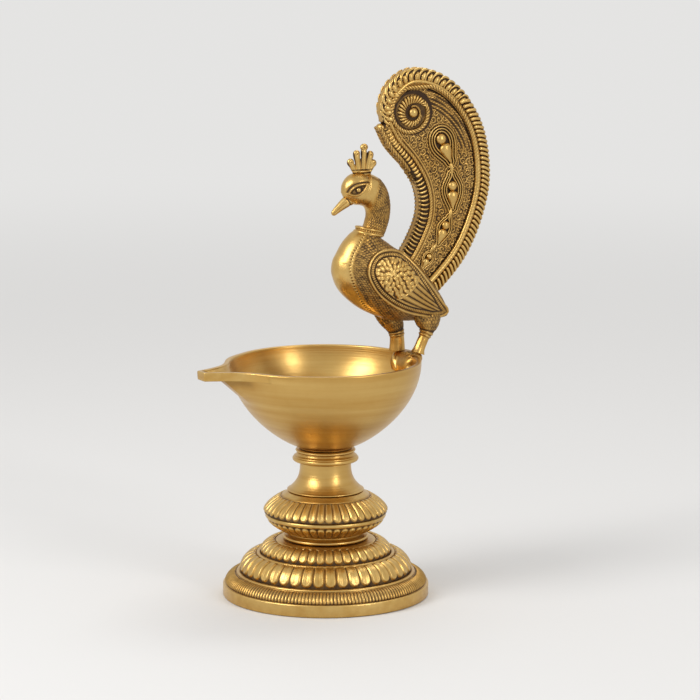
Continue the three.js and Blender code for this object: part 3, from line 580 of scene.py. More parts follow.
lower_bell = bell(16.4, knop_radius - 2.0, knop_bottom + 3.0, band_low, 1.5, 24)
upper_bell = bell(19.0, knop_radius - 0.4, knop_top - 2.2, band_high, 1.8, 30)[::-1]
knop_zones = [
    (line((7, knop_bottom), (17.1, knop_bottom), 3), plain(0.4)),
    (arc((17.3, knop_bottom + 0.8), (1.1, 0.8), -90, 90, 8), plain(0.97)),
    (line((17.1, knop_bottom + 1.65), (16.0, knop_bottom + 2.4), 4), plain(0.9)),
    (line((16.0, knop_bottom + 2.4), (16.4, knop_bottom + 3.0), 2), plain(0.8)),
    (lower_bell, tongue(0.5, 0.2, 0.1, True)),
    (arc((knop_radius - 2.0, band_low + 1.15), (1.2, 1.15), -85, 75, 12), plain(0.97)),
    (line((knop_radius - 1.5, band_high - 0.1), (knop_radius - 0.9, band_high), 2), plain(0.3)),
    (upper_bell, tongue(0.55, 0.35, 0.1)),
    (line((19.0, knop_top - 2.2), (18.7, knop_top - 1.7), 2), plain(0.6)),
    (line((18.7, knop_top - 1.7), (17.3, knop_top - 0.8), 3), plain(0.97)),
    (line((17.3, knop_top - 0.8), (16.2, knop_top), 3), plain(0.95)),
    (line((16.2, knop_top), (7.3, knop_top), 2), plain(0.8)),
    (line((7.3, knop_top), (7.3, knop_bottom + 5), 2), plain(0.3)),
    (line((7.3, knop_bottom + 5), (7, knop_bottom), 2), plain(0.3)),
]
knop = turned_piece("knop_casting", knop_zones, petal_count, petal_columns, carved_brass)
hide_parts("knop")
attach(knop, "stand")

# Stem: the plain trumpet
# Turned from solid brass and left with fine lathe lines. A thin flange at its foot sits on the
# knop, and its neck is bored for the rod below and the bowl's stud above.
brushed_brass = smooth_metal("brushed_brass", brass, dark_film, 0.32)
stem_bottom = knop_top + 0.3
stem_top = stem_high[2] / MM
trumpet = bell(15.9, 10.9, stem_bottom + 0.7, stem_top - 0.2, 3.0, 26)
stem_zones = [
    (line((3.3, stem_bottom), (16.0, stem_bottom), 3), plain(0.4)),
    (arc((16.1, stem_bottom + 0.3), (0.3, 0.3), -90, 90, 6), plain(1)),
    (line((16.1, stem_bottom + 0.6), (15.9, stem_bottom + 0.7), 1), plain(0.9)),
    (trumpet, plain(0.95)),
    (line((10.9, stem_top - 0.2), (10.7, stem_top), 1), plain(0.5)),
    (line((10.7, stem_top), (3.3, stem_top), 2), plain(0.4)),
    (line((3.3, stem_top), (3.3, stem_bottom), 3), plain(0.4)),
]
turned_slices = 96
stem = turned_piece("stem_trumpet", stem_zones, turned_slices, 2, brushed_brass)
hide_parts("stem")
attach(stem, "stand")

# Stem collar: the double ring under the bowl
# A turned brass ring with a flared lip, a fine step and a round bead. It stays on the stem when
# the bowl is lifted, and the bowl's stud passes through its bore.
collar_bottom = stem_top + 0.3
collar_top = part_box("stem_collar")[1][2] / MM
collar_zones = [
    (line((3.3, collar_bottom), (11.4, collar_bottom), 2), plain(0.3)),
    (arc((12.9, collar_bottom + 1.1), (1.2, 1.1), -90, 70, 12), plain(0.98)),
    (arc((14.6, collar_bottom + 3.9), (2.4, 1.8), 240, 190, 8), plain(0.9)),
    (arc((11.9, collar_bottom + 3.7), (0.4, 0.25), -60, 90, 4), plain(1)),
    (line((11.9, collar_bottom + 3.95), (11.5, collar_bottom + 4.1), 1), plain(0.4)),
    (arc((12.0, collar_top - 0.6), (0.8, 0.6), -90, 90, 10), plain(0.98)),
    (line((12.0, collar_top), (3.3, collar_top), 2), plain(0.3)),
    (line((3.3, collar_top), (3.3, collar_bottom), 2), plain(0.3)),
]
collar = turned_piece("stem_collar_ring", collar_zones, turned_slices, 2, brushed_brass)
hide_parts("stem_collar")
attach(collar, "stand")

# Bowl: the oil well and its spout
# A thin-walled brass casting, turned inside and out. The spout's side flanges were filed by hand,
# and its keel runs down into the round wall. A threaded stud under it screws into the stem.
bowl_bottom = collar_top + 0.3
rim_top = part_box("bowl")[1][2] / MM
rim_radius = 40.8
bowl_wall = 2.2
boss_radius = 11.9
spout_reach = 58.8
tip_half_width = 3.3
flange_height = 3.7
keel_depth = 16
channel_depth = 14
flange_end = 30
tip_angle = math.degrees(math.asin(tip_half_width / spout_reach))


def bowl_radius(height):
    """Outside radius of the round part at a height."""
    share = np.clip((height - bowl_bottom - 1) / (rim_top - bowl_bottom - 1), 0, 1)
    return boss_radius + (rim_radius - boss_radius) * (1 - (1 - share) ** 2) ** 0.8


def rim_reach(angle):
    """How far the rim reaches at an angle from the spout's middle, in degrees."""
    away = np.abs(angle)
    fall = np.exp(-np.maximum(away - tip_angle, 0) / 8.2)
    aside = np.minimum(np.abs(away - 34) / 22, 1)
    return rim_radius + (spout_reach - rim_radius) * fall + 0.6 * (1 + np.cos(math.pi * aside))


def channel_reach(angle):
    """The channel's edge, which keeps the wall's width inside the slanting sides."""
    away = np.abs(angle)
    slope = (rim_reach(away + 0.5) - rim_reach(away)) / math.radians(0.5)
    lean = rim_reach(away) / np.hypot(rim_reach(away), np.where(away < tip_angle, 0, slope))
    return rim_reach(angle) - bowl_wall / lean


def keel_share(depth):
    """How much of the spout is left outside at a depth below the rim."""
    left = np.clip(1 - (depth - flange_height) / (keel_depth - flange_height), 0, 1)
    return np.where(depth <= flange_height, 1, 0.52 * left**1.3)


spout_spread = 55
side_angles = tip_angle + spout_spread * np.linspace(0, 1, 90) ** 1.5
spout_angles = np.concatenate([np.linspace(0, tip_angle, 9)[:-1], side_angles])
round_angles = np.linspace(spout_angles[-1], 360 - spout_angles[-1], 230)[1:-1]
angles = np.concatenate([spout_angles, round_angles, 360 - spout_angles[:0:-1]])
signed = np.where(angles > 180, angles - 360, angles)
turn = math.pi - np.radians(signed)
well_floor = bowl_bottom + 6.2
squeeze = (rim_top - well_floor) / (rim_top - bowl_bottom - 1)


def bowl_ring(height, radius):
    """A level ring of points at each of the bowl's angles."""
    radius = radius + 0 * turn
    return np.column_stack([radius * np.cos(turn), radius * np.sin(turn), height + 0 * turn])


bowl_rings = [bowl_ring(bowl_bottom, 4.0), bowl_ring(bowl_bottom, 11.2)]
bowl_tones = [0.3, 0.4]
for share in np.linspace(0, 1, 5):
    bowl_rings.append(bowl_ring(bowl_bottom + 0.3 + 0.7 * share, 11.2 + 0.7 * share**2))
    bowl_tones.append(0.8)
for share in np.linspace(0.03, 1, 26) ** 1.25:
    height = bowl_bottom + 1 + (rim_top - keel_depth - bowl_bottom - 1) * share
    bowl_rings.append(bowl_ring(height, bowl_radius(height)))
    bowl_tones.append(0.9)
outer_depths = np.concatenate(
    [np.linspace(keel_depth - 0.6, flange_height + 0.5, 22), [4.0, 3.8, 3.6, 3.3, 2.6, 1.9, 1.2, 0.7]]
)
for depth in outer_depths:
    height = rim_top - depth
    swell = (rim_reach(signed) - rim_radius) * keel_share(depth)
    if 1 < depth <= flange_height:
        away = np.abs(signed)
        file_marks = mound(away - 9, 0.35) + mound(away - 10.4, 0.3)
        swell = swell * (0.52 + 0.48 * ease((flange_end - away) / 2)) - 0.22 * file_marks
    bowl_rings.append(bowl_ring(height, bowl_radius(height) + swell))
    # Painted shade: the tone drops in a band just below the flange beside the spout, where the overhang
    # shades the wall.
    shade = mound(depth - 5, 3) * (depth > flange_height)
    bowl_tones.append(0.92 - 0.45 * shade * ease((rim_reach(signed) - rim_radius - 1) / 4))
rim_round = 0.5
for lean in np.radians(np.linspace(0, 90, 6)):
    edge = rim_reach(signed) - rim_round + rim_round * math.cos(lean)
    bowl_rings.append(bowl_ring(rim_top - rim_round + rim_round * math.sin(lean), edge))
    bowl_tones.append(1)
for lean in np.radians(np.linspace(90, 0, 5)):
    edge = channel_reach(signed) + rim_round - rim_round * math.cos(lean)
    bowl_rings.append(bowl_ring(rim_top - rim_round + rim_round * math.sin(lean), edge))
    bowl_tones.append(1)


def inside_radius(height):
    """Inside radius of the round well at a height."""
    return bowl_radius(rim_top - (rim_top - height) / squeeze) - bowl_wall


channel_depths = np.linspace(0.8, channel_depth, 26)
well_depths = np.linspace(channel_depth + 0.5, 30.6, 24)
for depth in np.concatenate([channel_depths, well_depths]):
    height = rim_top - depth
    share = np.clip(1 - depth / channel_depth, 0, 1) ** 1.8
    swell = (channel_reach(signed) - rim_radius + bowl_wall) * share
    bowl_rings.append(bowl_ring(height, inside_radius(height) + swell))
    bowl_tones.append(0.95)
for share in (0.8, 0.55, 0.25, 0.05):
    bowl_rings.append(bowl_ring(well_floor + 0.3 * share**2, boss_radius * share))
    bowl_tones.append(0.9)


def close_ends(rings):
    """Points and faces of a skin over equal rings, each end closed by a fan to its middle."""
    rings = np.asarray(rings)
    rows, columns = rings.shape[:2]
    points = np.vstack([rings.reshape(-1, 3), rings[0].mean(0), rings[-1].mean(0)])
    sides = grid_faces(rows, columns, wrap_columns=True)
    last = (rows - 1) * columns
    for column in range(columns):
        beside = (column + 1) % columns
        sides.append((rows * columns, beside, column))
        sides.append((rows * columns + 1, last + column, last + beside))
    return points, sides


def skin_mesh(name, points, faces, relief):
    """An object whose doubled points are merged and whose faces point outward."""
    piece = make_mesh(name, points, faces, relief)
    close_up(piece)
    return piece


bowl_points, bowl_faces = close_ends(bowl_rings)
bowl_relief = np.concatenate([tone + 0 * turn for tone in bowl_tones] + [[0.3, 0.9]])
bowl = skin_mesh("oil_bowl", bowl_points, bowl_faces, bowl_relief)
bowl.data.materials.append(brushed_brass)
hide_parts("bowl")
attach(bowl, "lamp_head")

plate(["bowl_stud"])

# Perch: the shelf that the bird stands on
# A brass block let into the rim opposite the spout. Its rounded belly runs down into the bowl's
# outer wall, and under the toes of each foot a ridge is cast that curls down inside the rim.
perch_low, perch_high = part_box("perch")
perch_top = perch_high[2] / MM
perch_inner_x = perch_low[0] / MM - axis_x / MM
perch_outer_x = perch_high[0] / MM - axis_x / MM


def lamp_points(mesh):
    """A mesh's points in the lamp's millimetres."""
    places = np.empty(len(mesh.vertices) * 3)
    mesh.vertices.foreach_get("co", places)
    places = places.reshape(-1, 3) / MM
    places[:, 0] -= axis_x / MM
    return places


def lamp_normals(mesh):
    """The outward direction at each point of a mesh."""
    normals = np.empty(len(mesh.vertices) * 3)
    mesh.vertex_normals.foreach_get("vector", normals)
    return normals.reshape(-1, 3)


def set_surface(mesh, points, relief):
    """Moves a mesh's points and gives them their relief."""
    places = np.array(points) * MM
    places[:, 0] += axis_x
    mesh.vertices.foreach_set("co", places.reshape(-1))
    give_relief(mesh, relief)
    mesh.update()


class Heap:
    """Closed shapes gathered into one mesh, each with its relief."""

    def __init__(self):
        self.points = []
        self.faces = []
        self.tones = []

    def add(self, shape, tone):
        points, faces = shape
        start = len(self.points)
        self.faces += [tuple(corner + start for corner in face) for face in faces]
        self.points += np.asarray(points).tolist()
        self.tones += np.broadcast_to(tone, len(points)).tolist()

    def mesh(self, name):
        return skin_mesh(name, self.points, self.faces, self.tones)


def cast_together(name, parts, grain, softness):
    """Melts overlapping closed parts into one casting, remeshed to a grain and softened."""
    heap = Heap()
    for part in parts:
        heap.add(part, 1)
    piece = heap.mesh(name)
    remesh = piece.modifiers.new("melt", "REMESH")
    remesh.mode = "VOXEL"
    remesh.voxel_size = grain * MM
    soften = piece.modifiers.new("soften", "SMOOTH")
    soften.factor = 0.5
    soften.iterations = softness
    graph = bpy.context.evaluated_depsgraph_get()
    melted = bpy.data.meshes.new_from_object(piece.evaluated_get(graph))
    piece.modifiers.clear()
    piece.data = melted
    melted.shade_smooth()
    return piece


def lengths_along(path):
    """Distance walked along a path at each of its points."""
    return np.append(0, np.cumsum(np.linalg.norm(np.diff(path, axis=0), axis=1)))


def at_marks(path, marks):
    """Places on a path at distances along it."""
    return np.column_stack([np.interp(marks, lengths_along(path), column) for column in path.T])


def full_turn(sides):
    """Angles that divide a full turn evenly."""
    return 2 * math.pi * np.arange(sides) / sides


def curve_through(places, count, closed=False):
    """Evenly spaced points on a smooth curve through some places."""
    given = np.asarray(places, dtype=float)
    if closed:
        held = np.vstack([given[-1:], given, given[:2]])
    else:
        held = np.vstack([2 * given[0] - given[1], given, 2 * given[-1] - given[-2]])
    found = []
    step = np.linspace(0, 1, 20, endpoint=False)[:, None]
    for before, start, end, after in zip(held, held[1:], held[2:], held[3:]):
        gaps = [np.linalg.norm(b - a) ** 0.5 for a, b in ((before, start), (start, end), (end, after))]
        leave = (start - before) / gaps[0] - (end - before) / (gaps[0] + gaps[1])
        leave = gaps[1] * (leave + (end - start) / gaps[1])
        reach = (end - start) / gaps[1] - (after - start) / (gaps[1] + gaps[2])
        reach = gaps[1] * (reach + (after - end) / gaps[2])
        bend = (2 * step**3 - 3 * step**2 + 1) * start + (step**3 - 2 * step**2 + step) * leave
        found.append(bend + (3 * step**2 - 2 * step**3) * end + (step**3 - step**2) * reach)
    found.append(given[:1] if closed else given[-1:])
    track = np.vstack(found)
    even = at_marks(track, np.linspace(0, lengths_along(track)[-1], count + 1 if closed else count))
    return even[:-1] if closed else even


def limb(stations, steps, sides, offset=0):
    """Oval rings along a bent path; a station is x, height, half-depth and half-width."""
    path = curve_through(stations, steps)
    course = np.gradient(path[:, :2], axis=0)
    course /= np.linalg.norm(course, axis=1)[:, None]
    angle = full_turn(sides)
    depth = path[:, 2:3] * np.cos(angle)
    x = path[:, :1] - course[:, 1:] * depth
    z = path[:, 1:2] + course[:, :1] * depth
    y = offset + path[:, 3:4] * np.sin(angle)
    return np.stack([x, y, z], -1)


def egg(centre, half, sides=24, rows=16):
    """A closed egg with three half-axes."""
    lean = np.linspace(0.06, math.pi - 0.06, rows)[:, None]
    angle = full_turn(sides)
    x = centre[0] + half[0] * np.sin(lean) * np.cos(angle)
    y = centre[1] + half[1] * np.sin(lean) * np.sin(angle)
    z = centre[2] + half[2] * np.cos(lean) + 0 * angle
    return close_ends(np.stack([x, y, z], -1))


leg_spread = 5.5
near_foot = (41.9, -leg_spread)
far_foot = (37.8, leg_spread)
block_middle = (perch_inner_x + perch_outer_x) / 2
block_depth = 8
saddle_depth = 3.4
squareness = 3.2
angle = full_turn(60)
squared = np.abs(np.cos(angle)) ** squareness + np.abs(np.sin(angle)) ** squareness
squared = squared ** (-1 / squareness)
block_rings = []
for share in np.linspace(0, 1, 15):
    drop = (1 - share) ** 1.6
    half_long = (perch_outer_x - perch_inner_x) / 2 - 0.2 - 2.6 * drop
    half_wide = 9.2 - 2.4 * drop
    edge = 1.3 * max(0, (share - 0.6) / 0.4) ** 2
    x = block_middle - 1.6 * drop + (half_long - edge) * squared * np.cos(angle)
    x = x + saddle_depth * max(0, (share - 0.25) / 0.75) ** 1.5 * np.maximum(0, -np.cos(angle)) ** 0.7
    y = (half_wide - edge) * squared * np.sin(angle)
    block_rings.append(np.column_stack([x, y, perch_top - block_depth + block_depth * share + 0 * x]))
perch_parts = [close_ends(block_rings)]
toe_steps = ((0.5, 1.3), (2.2, 1.15), (4.0, 0.95), (5.2, 0.5))
for foot_x, foot_y in (near_foot, far_foot):
    for splay in (-32, 0, 32):
        heading = math.radians(180 + splay)
        for reach, tall in toe_steps:
            toe_x = foot_x + reach * math.cos(heading)
            toe_y = foot_y + reach * math.sin(heading)
            if toe_x > perch_inner_x + saddle_depth:
                perch_parts.append(egg((toe_x, toe_y, perch_top + 0.1), (1.25, 1.0, tall), 14, 9))
foot_ridges = (
    ((38.0, 5.2, -1.0), (36.4, 3.6, -2.0), (35.2, 1.8, -3.8), (34.8, 0.4, -6.0)),
    ((41.2, -5.6, -1.0), (39.4, -6.2, -2.0), (37.8, -6.6, -3.8), (37.0, -6.8, -6.0)),
)
ridge_points = []
for ridge in foot_ridges:
    for ridge_x, ridge_y, drop in curve_through(list(ridge), 12):
        ridge_x = max(ridge_x, perch_inner_x + 2.2)
        ridge_points.append((ridge_x, ridge_y, perch_top + drop - 0.8))
        perch_parts.append(egg(ridge_points[-1], (2.0, 1.8, 1.7), 16, 10))
perch = cast_together("perch_shelf", perch_parts, 0.26, 7)
perch_points = lamp_points(perch.data)
ridge_points = np.array(ridge_points)
to_ridge = np.linalg.norm(perch_points[:, None] - ridge_points[None], axis=-1).min(1)
set_surface(perch.data, perch_points, 0.5 + 0.45 * ease((3.4 - to_ridge) / 1.6))
perch.data.materials.append(carved_brass)
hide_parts("perch")
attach(perch, "lamp_head")
plate(["near_foot_pin", "far_foot_pin"])

# Legs: cast with feathered thighs
# Each brass leg is pinned through its foot into the perch. The thigh is chased with small
# feathers, two rings mark the ankle, and the shank below them is filed to soft facets.

# Stations down a leg: x, height above the perch, half-depth and half-width.
near_leg_stations = [
    (46.4, 18.2, 5.6, 2.4),
    (46.6, 15.2, 6.0, 3.4),
    (46.6, 12.2, 4.9, 3.5),
    (46.2, 9.6, 3.2, 2.9),
    (45.2, 7.4, 2.4, 2.4),
    (43.8, 4.6, 2.3, 2.3),
    (42.6, 2.0, 2.4, 2.4),
    (41.9, 0.2, 3.0, 3.0),
]
far_leg_stations = [
    (29.8, 25.5, 5.6, 3.2),
    (31.9, 20.0, 6.0, 3.9),
    (34.4, 14.8, 5.2, 3.9),
    (36.6, 10.8, 3.9, 3.3),
    (37.6, 7.6, 3.3, 2.9),
    (37.9, 4.6, 3.2, 2.8),
    (37.9, 0.2, 3.5, 3.1),
]


def scales(along, around, long, count):
    """Overlapping round-tipped feathers in offset rows, as heights from 0 to 1."""
    best = 0 * along
    row = np.floor(along / long)
    for back in (0, 1):
        step = along / long - row + back
        shift = 0.5 * np.mod(row - back, 2)
        over = around * count / (2 * math.pi) + shift
        aside = over - np.round(over)
        chance = np.mod(43758.5 * np.sin(12.99 * np.round(over) + 78.23 * (row - back)), 1)
        body = 1 - 0.4 * chance - (aside / 0.56) ** 2 - ((step - 0.75) / 0.85) ** 2
        best = np.maximum(best, np.sqrt(np.clip(body, 0, 1)) * (0.5 + 0.5 * step / 1.6))
    return best


def make_leg(name, node_name, stations, offset, ring_height, ring_size):
    """One leg with its feathers, its ankle rings and a faceted shank."""
    raised = [(x, z + perch_top, half, wide) for x, z, half, wide in stations]
    steps, sides = 150, 72
    rings = limb(raised, steps, sides, offset)
    height = rings[..., 2].mean(1)[:, None] - perch_top
    angle = full_turn(sides) + 0 * height
    feathers = scales(-height + 40, angle, 1.4, 26) * ease((height - ring_height - 1.2) / 1.2)
    anklet = ring_size * sum(mound(height - ring_height - step, 0.36) for step in (-0.6, 0.6))
    facets = 0.12 * np.abs(np.cos(3 * angle)) * ease((ring_height - 1.5 - height) / 1.5)
    lift = 0.55 * feathers + 0.45 * anklet + facets
    middle = rings.mean(1, keepdims=True)
    outward = rings - middle
    outward /= np.linalg.norm(outward, axis=-1, keepdims=True)
    points, faces = close_ends(rings + lift[..., None] * outward)
    tone = np.where(height > ring_height + 1.3, 0.08 + 1.08 * feathers**1.6, 0.8)
    tone = np.where(np.abs(height - ring_height) < 1.3, 0.25 + 0.8 * anklet, tone)
    leg = skin_mesh(name, points, faces, np.append(tone.reshape(-1), [0.5, 0.5]))
    leg.data.materials.append(carved_brass)
    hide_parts(node_name)
    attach(leg, "lamp_head")


make_leg("near_leg_casting", "near_leg", near_leg_stations, -leg_spread, 8.2, 1.0)
make_leg("far_leg_casting", "far_leg", far_leg_stations, leg_spread, 7.6, 0.6)

# Bird's body: breast, back and rump in one brass casting
# The breast is polished smooth. Behind a row of punched dots, the flanks, the back and the
# shoulders are chased all over with small scales that old polish darkens.

# Stations from breast to rump: x, top, underside and half-width.
body_stations = np.array([
    (4.5, 41.0, 34.4, 3.6),
    (7.2, 45.8, 28.8, 7.0),
    (11.6, 49.8, 24.3, 9.7),
    (17, 51.2, 20.4, 11.7),
    (24, 51.2, 17, 12.7),
    (32, 46.2, 14.6, 12.7),
    (40, 41.2, 13.8, 11.2),
    (48, 33.2, 13.6, 8.7),
    (55, 24, 13.8, 5.4),
    (59, 17.4, 14.2, 1.8),
])
body_run = curve_through(body_stations, 90)
body_angle = full_turn(72)
body_middle = perch_top + (body_run[:, 1:2] + body_run[:, 2:3]) / 2
body_tall = (body_run[:, 1:2] - body_run[:, 2:3]) / 2
body_rings = np.stack(
    [
        body_run[:, :1] + 0 * body_angle,
        body_run[:, 3:] * np.sin(body_angle),
        body_middle + body_tall * np.cos(body_angle),
    ],
    -1,
)
shoulder_stations = [
    (17.0, 141.5, 12.7, 10.2),
    (18.0, 147.2, 10.2, 8.9),
    (19.2, 151.2, 7.8, 7.4),
    (20.0, 153.2, 6.3, 6.2),
    (20.5, 154.6, 5.6, 5.6),
]
breast_tip = egg((10.0, 0, perch_top + 38.2), (6.2, 7.2, 8.6))
breast_top = egg((13.4, 0, perch_top + 43.3), (7.0, 8.2, 6.6))
shoulders = close_ends(limb(shoulder_stations, 16, 48))
body_parts = [close_ends(body_rings), shoulders, breast_tip, breast_top]
body = cast_together("bird_trunk", body_parts, 0.29, 30)


def along_line(places, x, z):
    """Distance to a line of points, how far along the nearest place lies, and which side it is."""
    near = np.full(len(x), 1e9)
    along = np.zeros(len(x))
    side = np.zeros(len(x))
    walked = 0
    for (ax, az), (bx, bz) in zip(places[:-1], places[1:]):
        dx, dz = bx - ax, bz - az
        length = math.hypot(dx, dz)
        share = np.clip(((x - ax) * dx + (z - az) * dz) / length**2, 0, 1)
        gap = np.hypot(x - ax - share * dx, z - az - share * dz)
        closer = gap < near
        near = np.where(closer, gap, near)
        along = np.where(closer, walked + share * length, along)
        side = np.where(closer, np.sign(dx * (z - az) - dz * (x - ax)), side)
        walked += length
    return near, along, side


dotted_line = curve_through(
    [(18.6, 157.5), (16.4, 155.0), (14.4, 152.9), (12.0, 149.9), (10.2, 147.4), (8.9, 144.6),
     (7.8, 140.5), (9.2, 134.6), (12.2, 129.2), (15.6, 124.6), (20.5, 120.8), (28, 115.8)],
    90,
)
skin_points = lamp_points(body.data)
skin_normals = lamp_normals(body.data)
x, y, z = skin_points.T
gap, along, side = along_line(dotted_line, x, z)
behind = gap * side
spine = np.array([0.894, 0, -0.447])
from_breast = skin_points - np.array([8, 0, 142])
along_spine = from_breast @ spine
around_spine = np.arctan2(y, from_breast @ np.array([0.447, 0, 0.894]))
scaled = ease((behind - 0.5) / 0.8)
jitter = 0.22 * np.sin(45.9 * around_spine + 1.7 * along_spine)
feathers = scales(along_spine + 60 + jitter, around_spine, 1.15, 66)
dot_pitch = 1.35
dots = mound(gap, 0.33) * ease((np.cos(2 * math.pi * along / dot_pitch) - 0.1) / 0.5)
lift = scaled * (0.5 * feathers - 0.16) - 0.3 * dots
tone = (1 - scaled) * (1 - 0.95 * dots) + scaled * (0.08 + 1.05 * feathers**1.7)
set_surface(body.data, skin_points + lift[:, None] * skin_normals, tone)
polished_brass = carved_metal("polished_brass", brass, dark_film, 1, 0.33, 0.06)
body.data.materials.append(polished_brass)
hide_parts("bird_body")
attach(body, "lamp_head")

# Wings: leaf-shaped shields on the flanks
# Each is a thin brass casting laid on the flank, with a double rim. Its front is filled with
# curled petals round a flower's middle, and its back with flight feathers that run to the tip.
wing_outline = [
    (13.9, 138.5), (15.3, 143.9), (19.2, 147.2), (25.4, 147.9), (31.8, 145.8), (36.9, 141.2),
    (42.4, 134.8), (47.3, 129.0), (51.8, 124.0), (55.5, 120.6), (56.2, 118.6), (54.0, 117.4),
    (48.4, 117.2), (41.9, 118.5), (31.7, 121.5), (23.5, 125.9), (17.2, 131.5),
]
wing_middle = np.array([28.0, 133.5])
wing_tip = np.array([61.0, 116.2])
wing_divide = curve_through(
    [(39.4, 138.2), (37.2, 133.8), (33.2, 130.0), (27.6, 127.4), (22, 126.4)], 40
)
wing_sectors = 380
wing_rows = 84
wing_edge = curve_through(wing_outline, wing_sectors, True)
wing_share = 1 - np.linspace(0, 1, wing_rows) ** 1.15
wing_share[-1] = 0.012
wing_flat = wing_middle + wing_share[:, None, None] * (wing_edge - wing_middle)
wing_x, wing_z = wing_flat[..., 0].ravel(), wing_flat[..., 1].ravel()


def flank(x, z):
    """How far the flank stands out at a place seen from the side."""
    middle = np.interp(x, body_run[:, 0], body_middle[:, 0])
    tall = np.interp(x, body_run[:, 0], body_tall[:, 0])
    wide = np.interp(x, body_run[:, 0], body_run[:, 3])
    return wide * np.sqrt(np.clip(1 - ((z - middle) / tall) ** 2, 0.02, 1))


edge_loop = np.vstack([wing_edge, wing_edge[:1]])
inset, round_edge, _ = along_line(edge_loop, wing_x, wing_z)
divide_gap, _, divide_side = along_line(wing_divide, wing_x, wing_z)
divide_end_x = 22
rear = ease(0.5 + divide_gap * divide_side / 0.5) * (wing_x > divide_end_x)
outer_rim = mound(inset - 0.75, 0.55, 4)
ticked = mound(inset - 2.25, 0.6, 4) * (0.62 + 0.38 * np.cos(2 * math.pi * round_edge))
leaf_height = 0 * wing_x
flower = np.array([24.3, 138.4])
petal_half = 1.5
for count, radius, twist in (
    (5, 1.1, -0.2), (9, 2.8, 0.35), (15, 4.6, -0.4), (21, 6.5, 0.45), (27, 8.4, -0.45),
    (33, 10.3, 0.45), (39, 12.2, -0.45), (45, 14.1, 0.45), (51, 16.0, -0.45),
):
    for step in range(count):
        heading = 2 * math.pi * (step + 0.5 * (count % 2) + 0.12 * math.sin(3.7 * step)) / count
        off = radius + 0.2 * math.sin(2.3 * step + count)
        centre = flower + off * np.array([math.cos(heading), math.sin(heading)])
        lean = heading + twist + 0.15 * math.sin(1.9 * step)
        dx, dz = wing_x - centre[0], wing_z - centre[1]
        out = dx * math.cos(lean) + dz * math.sin(lean)
        over = -dx * math.sin(lean) + dz * math.cos(lean)
        shape = 1 - (out / petal_half) ** 2 - (over / (0.86 * (1 + 0.3 * out / petal_half))) ** 2
        petal = np.sqrt(np.clip(shape, 0, 1)) * (1 - 0.25 * mound(over, 0.14))
        leaf_height = np.maximum(leaf_height, petal)
tip_x, tip_z = wing_x - wing_tip[0], wing_z - wing_tip[1]
from_tip = np.hypot(tip_x, tip_z)
fan = np.degrees(np.arctan2(tip_z, -tip_x)) - 0.2 * from_tip
quill_degrees = 4.3
barb_pitch = 0.8
quill = np.abs(np.sin(math.pi * fan / quill_degrees))
barbs = 0.88 + 0.12 * np.cos(2 * math.pi * from_tip / barb_pitch)
feather = quill**0.8 * barbs
inside = ease((inset - 3.1) / 0.5)
pattern = inside * (rear * feather + (1 - rear) * leaf_height * 0.95)
divide = mound(divide_gap, 0.5) * inside * (wing_x > divide_end_x + 2)
raised = np.maximum.reduce([outer_rim * (inset < 2), ticked * (inset > 1.2), pattern, 0.9 * divide])
wing_lift = 1.25 * ease(inset / 0.7) + 0.68 * raised + 0.35 * inside * (1 - rear)
wing_tone = 0.22 * inside * (1 - rear) + 0.95 * raised
slope_x = np.clip((flank(wing_x + 0.2, wing_z) - flank(wing_x - 0.2, wing_z)) / 0.4, -1.3, 1.3)
slope_z = np.clip((flank(wing_x, wing_z + 0.2) - flank(wing_x, wing_z - 0.2)) / 0.4, -1.3, 1.3)
wing_out = np.column_stack([-slope_x, 1 + 0 * wing_x, -slope_z])
wing_out /= np.linalg.norm(wing_out, axis=1)[:, None]
wing_base = np.column_stack([wing_x, flank(wing_x, wing_z) + 0.25, wing_z])
front_face = (wing_base + wing_lift[:, None] * wing_out).reshape(wing_rows, wing_sectors, 3)
back_rows = [0, wing_rows // 2, wing_rows - 1]
back_face = (wing_base - 0.5 * wing_out).reshape(wing_rows, wing_sectors, 3)[back_rows]
wing_rings = np.vstack([back_face[::-1], front_face])
wing_tones = np.append(np.append(np.zeros(3 * wing_sectors), wing_tone), [0.2, 1])
for name, node_name, hand in (
    ("near_wing_shield", "near_wing", -1),
    ("far_wing_shield", "far_wing", 1),
):
    points, faces = close_ends(wing_rings * np.array([1, hand, 1]))
    wing = skin_mesh(name, points, faces, wing_tones)
    wing.data.materials.append(carved_brass)
    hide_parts(node_name)
    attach(wing, "lamp_head")

# Necklace: the double ring on the neck's joint
# A turned brass ring of two beads with fine ticks between them, which covers the seam between
# the body's casting and the neck's.
neck_tilt = math.radians(12)
neck_joint = np.array([20.6, 0, perch_top + 52.2])


def on_neck(rings):
    """Tilts rings that are made round an upright axis and sets them on the neck's joint."""
    x, y, z = np.moveaxis(np.asarray(rings), -1, 0)
    leaned = np.stack(
        [
            x * math.cos(neck_tilt) + z * math.sin(neck_tilt),
            y,
            z * math.cos(neck_tilt) - x * math.sin(neck_tilt),
        ],
        -1,
    )
    return leaned + neck_joint


band_profile = np.vstack([
    [(2.9, -0.3), (6.0, -0.3)],
    arc((6.0, 0.45), (0.6, 0.65), -80, 80, 8),
    line((5.75, 1.15), (5.65, 1.75), 3),
    arc((5.6, 2.3), (0.6, 0.55), -80, 80, 8),
    [(5.0, 3.0), (2.9, 3.0)],
])
band_sides = 192
band_angle = full_turn(band_sides)
band_rings = []
band_tones = []
for radius, height in band_profile:
    between = mound(height - 1.5, 0.35, 4) * (radius > 5)
    tick = between * (0.5 + 0.5 * np.cos(34 * band_angle))
    reach = radius + 0.22 * tick
    band_rings.append(np.column_stack([
        reach * np.cos(band_angle), 0.95 * reach * np.sin(band_angle), height + 0 * band_angle
    ]))
    band_tones.append(np.where(between > 0.5, 0.1 + 0.8 * tick, 0.95) + 0 * band_angle)
band_faces = grid_faces(len(band_profile), band_sides, wrap_rows=True, wrap_columns=True)
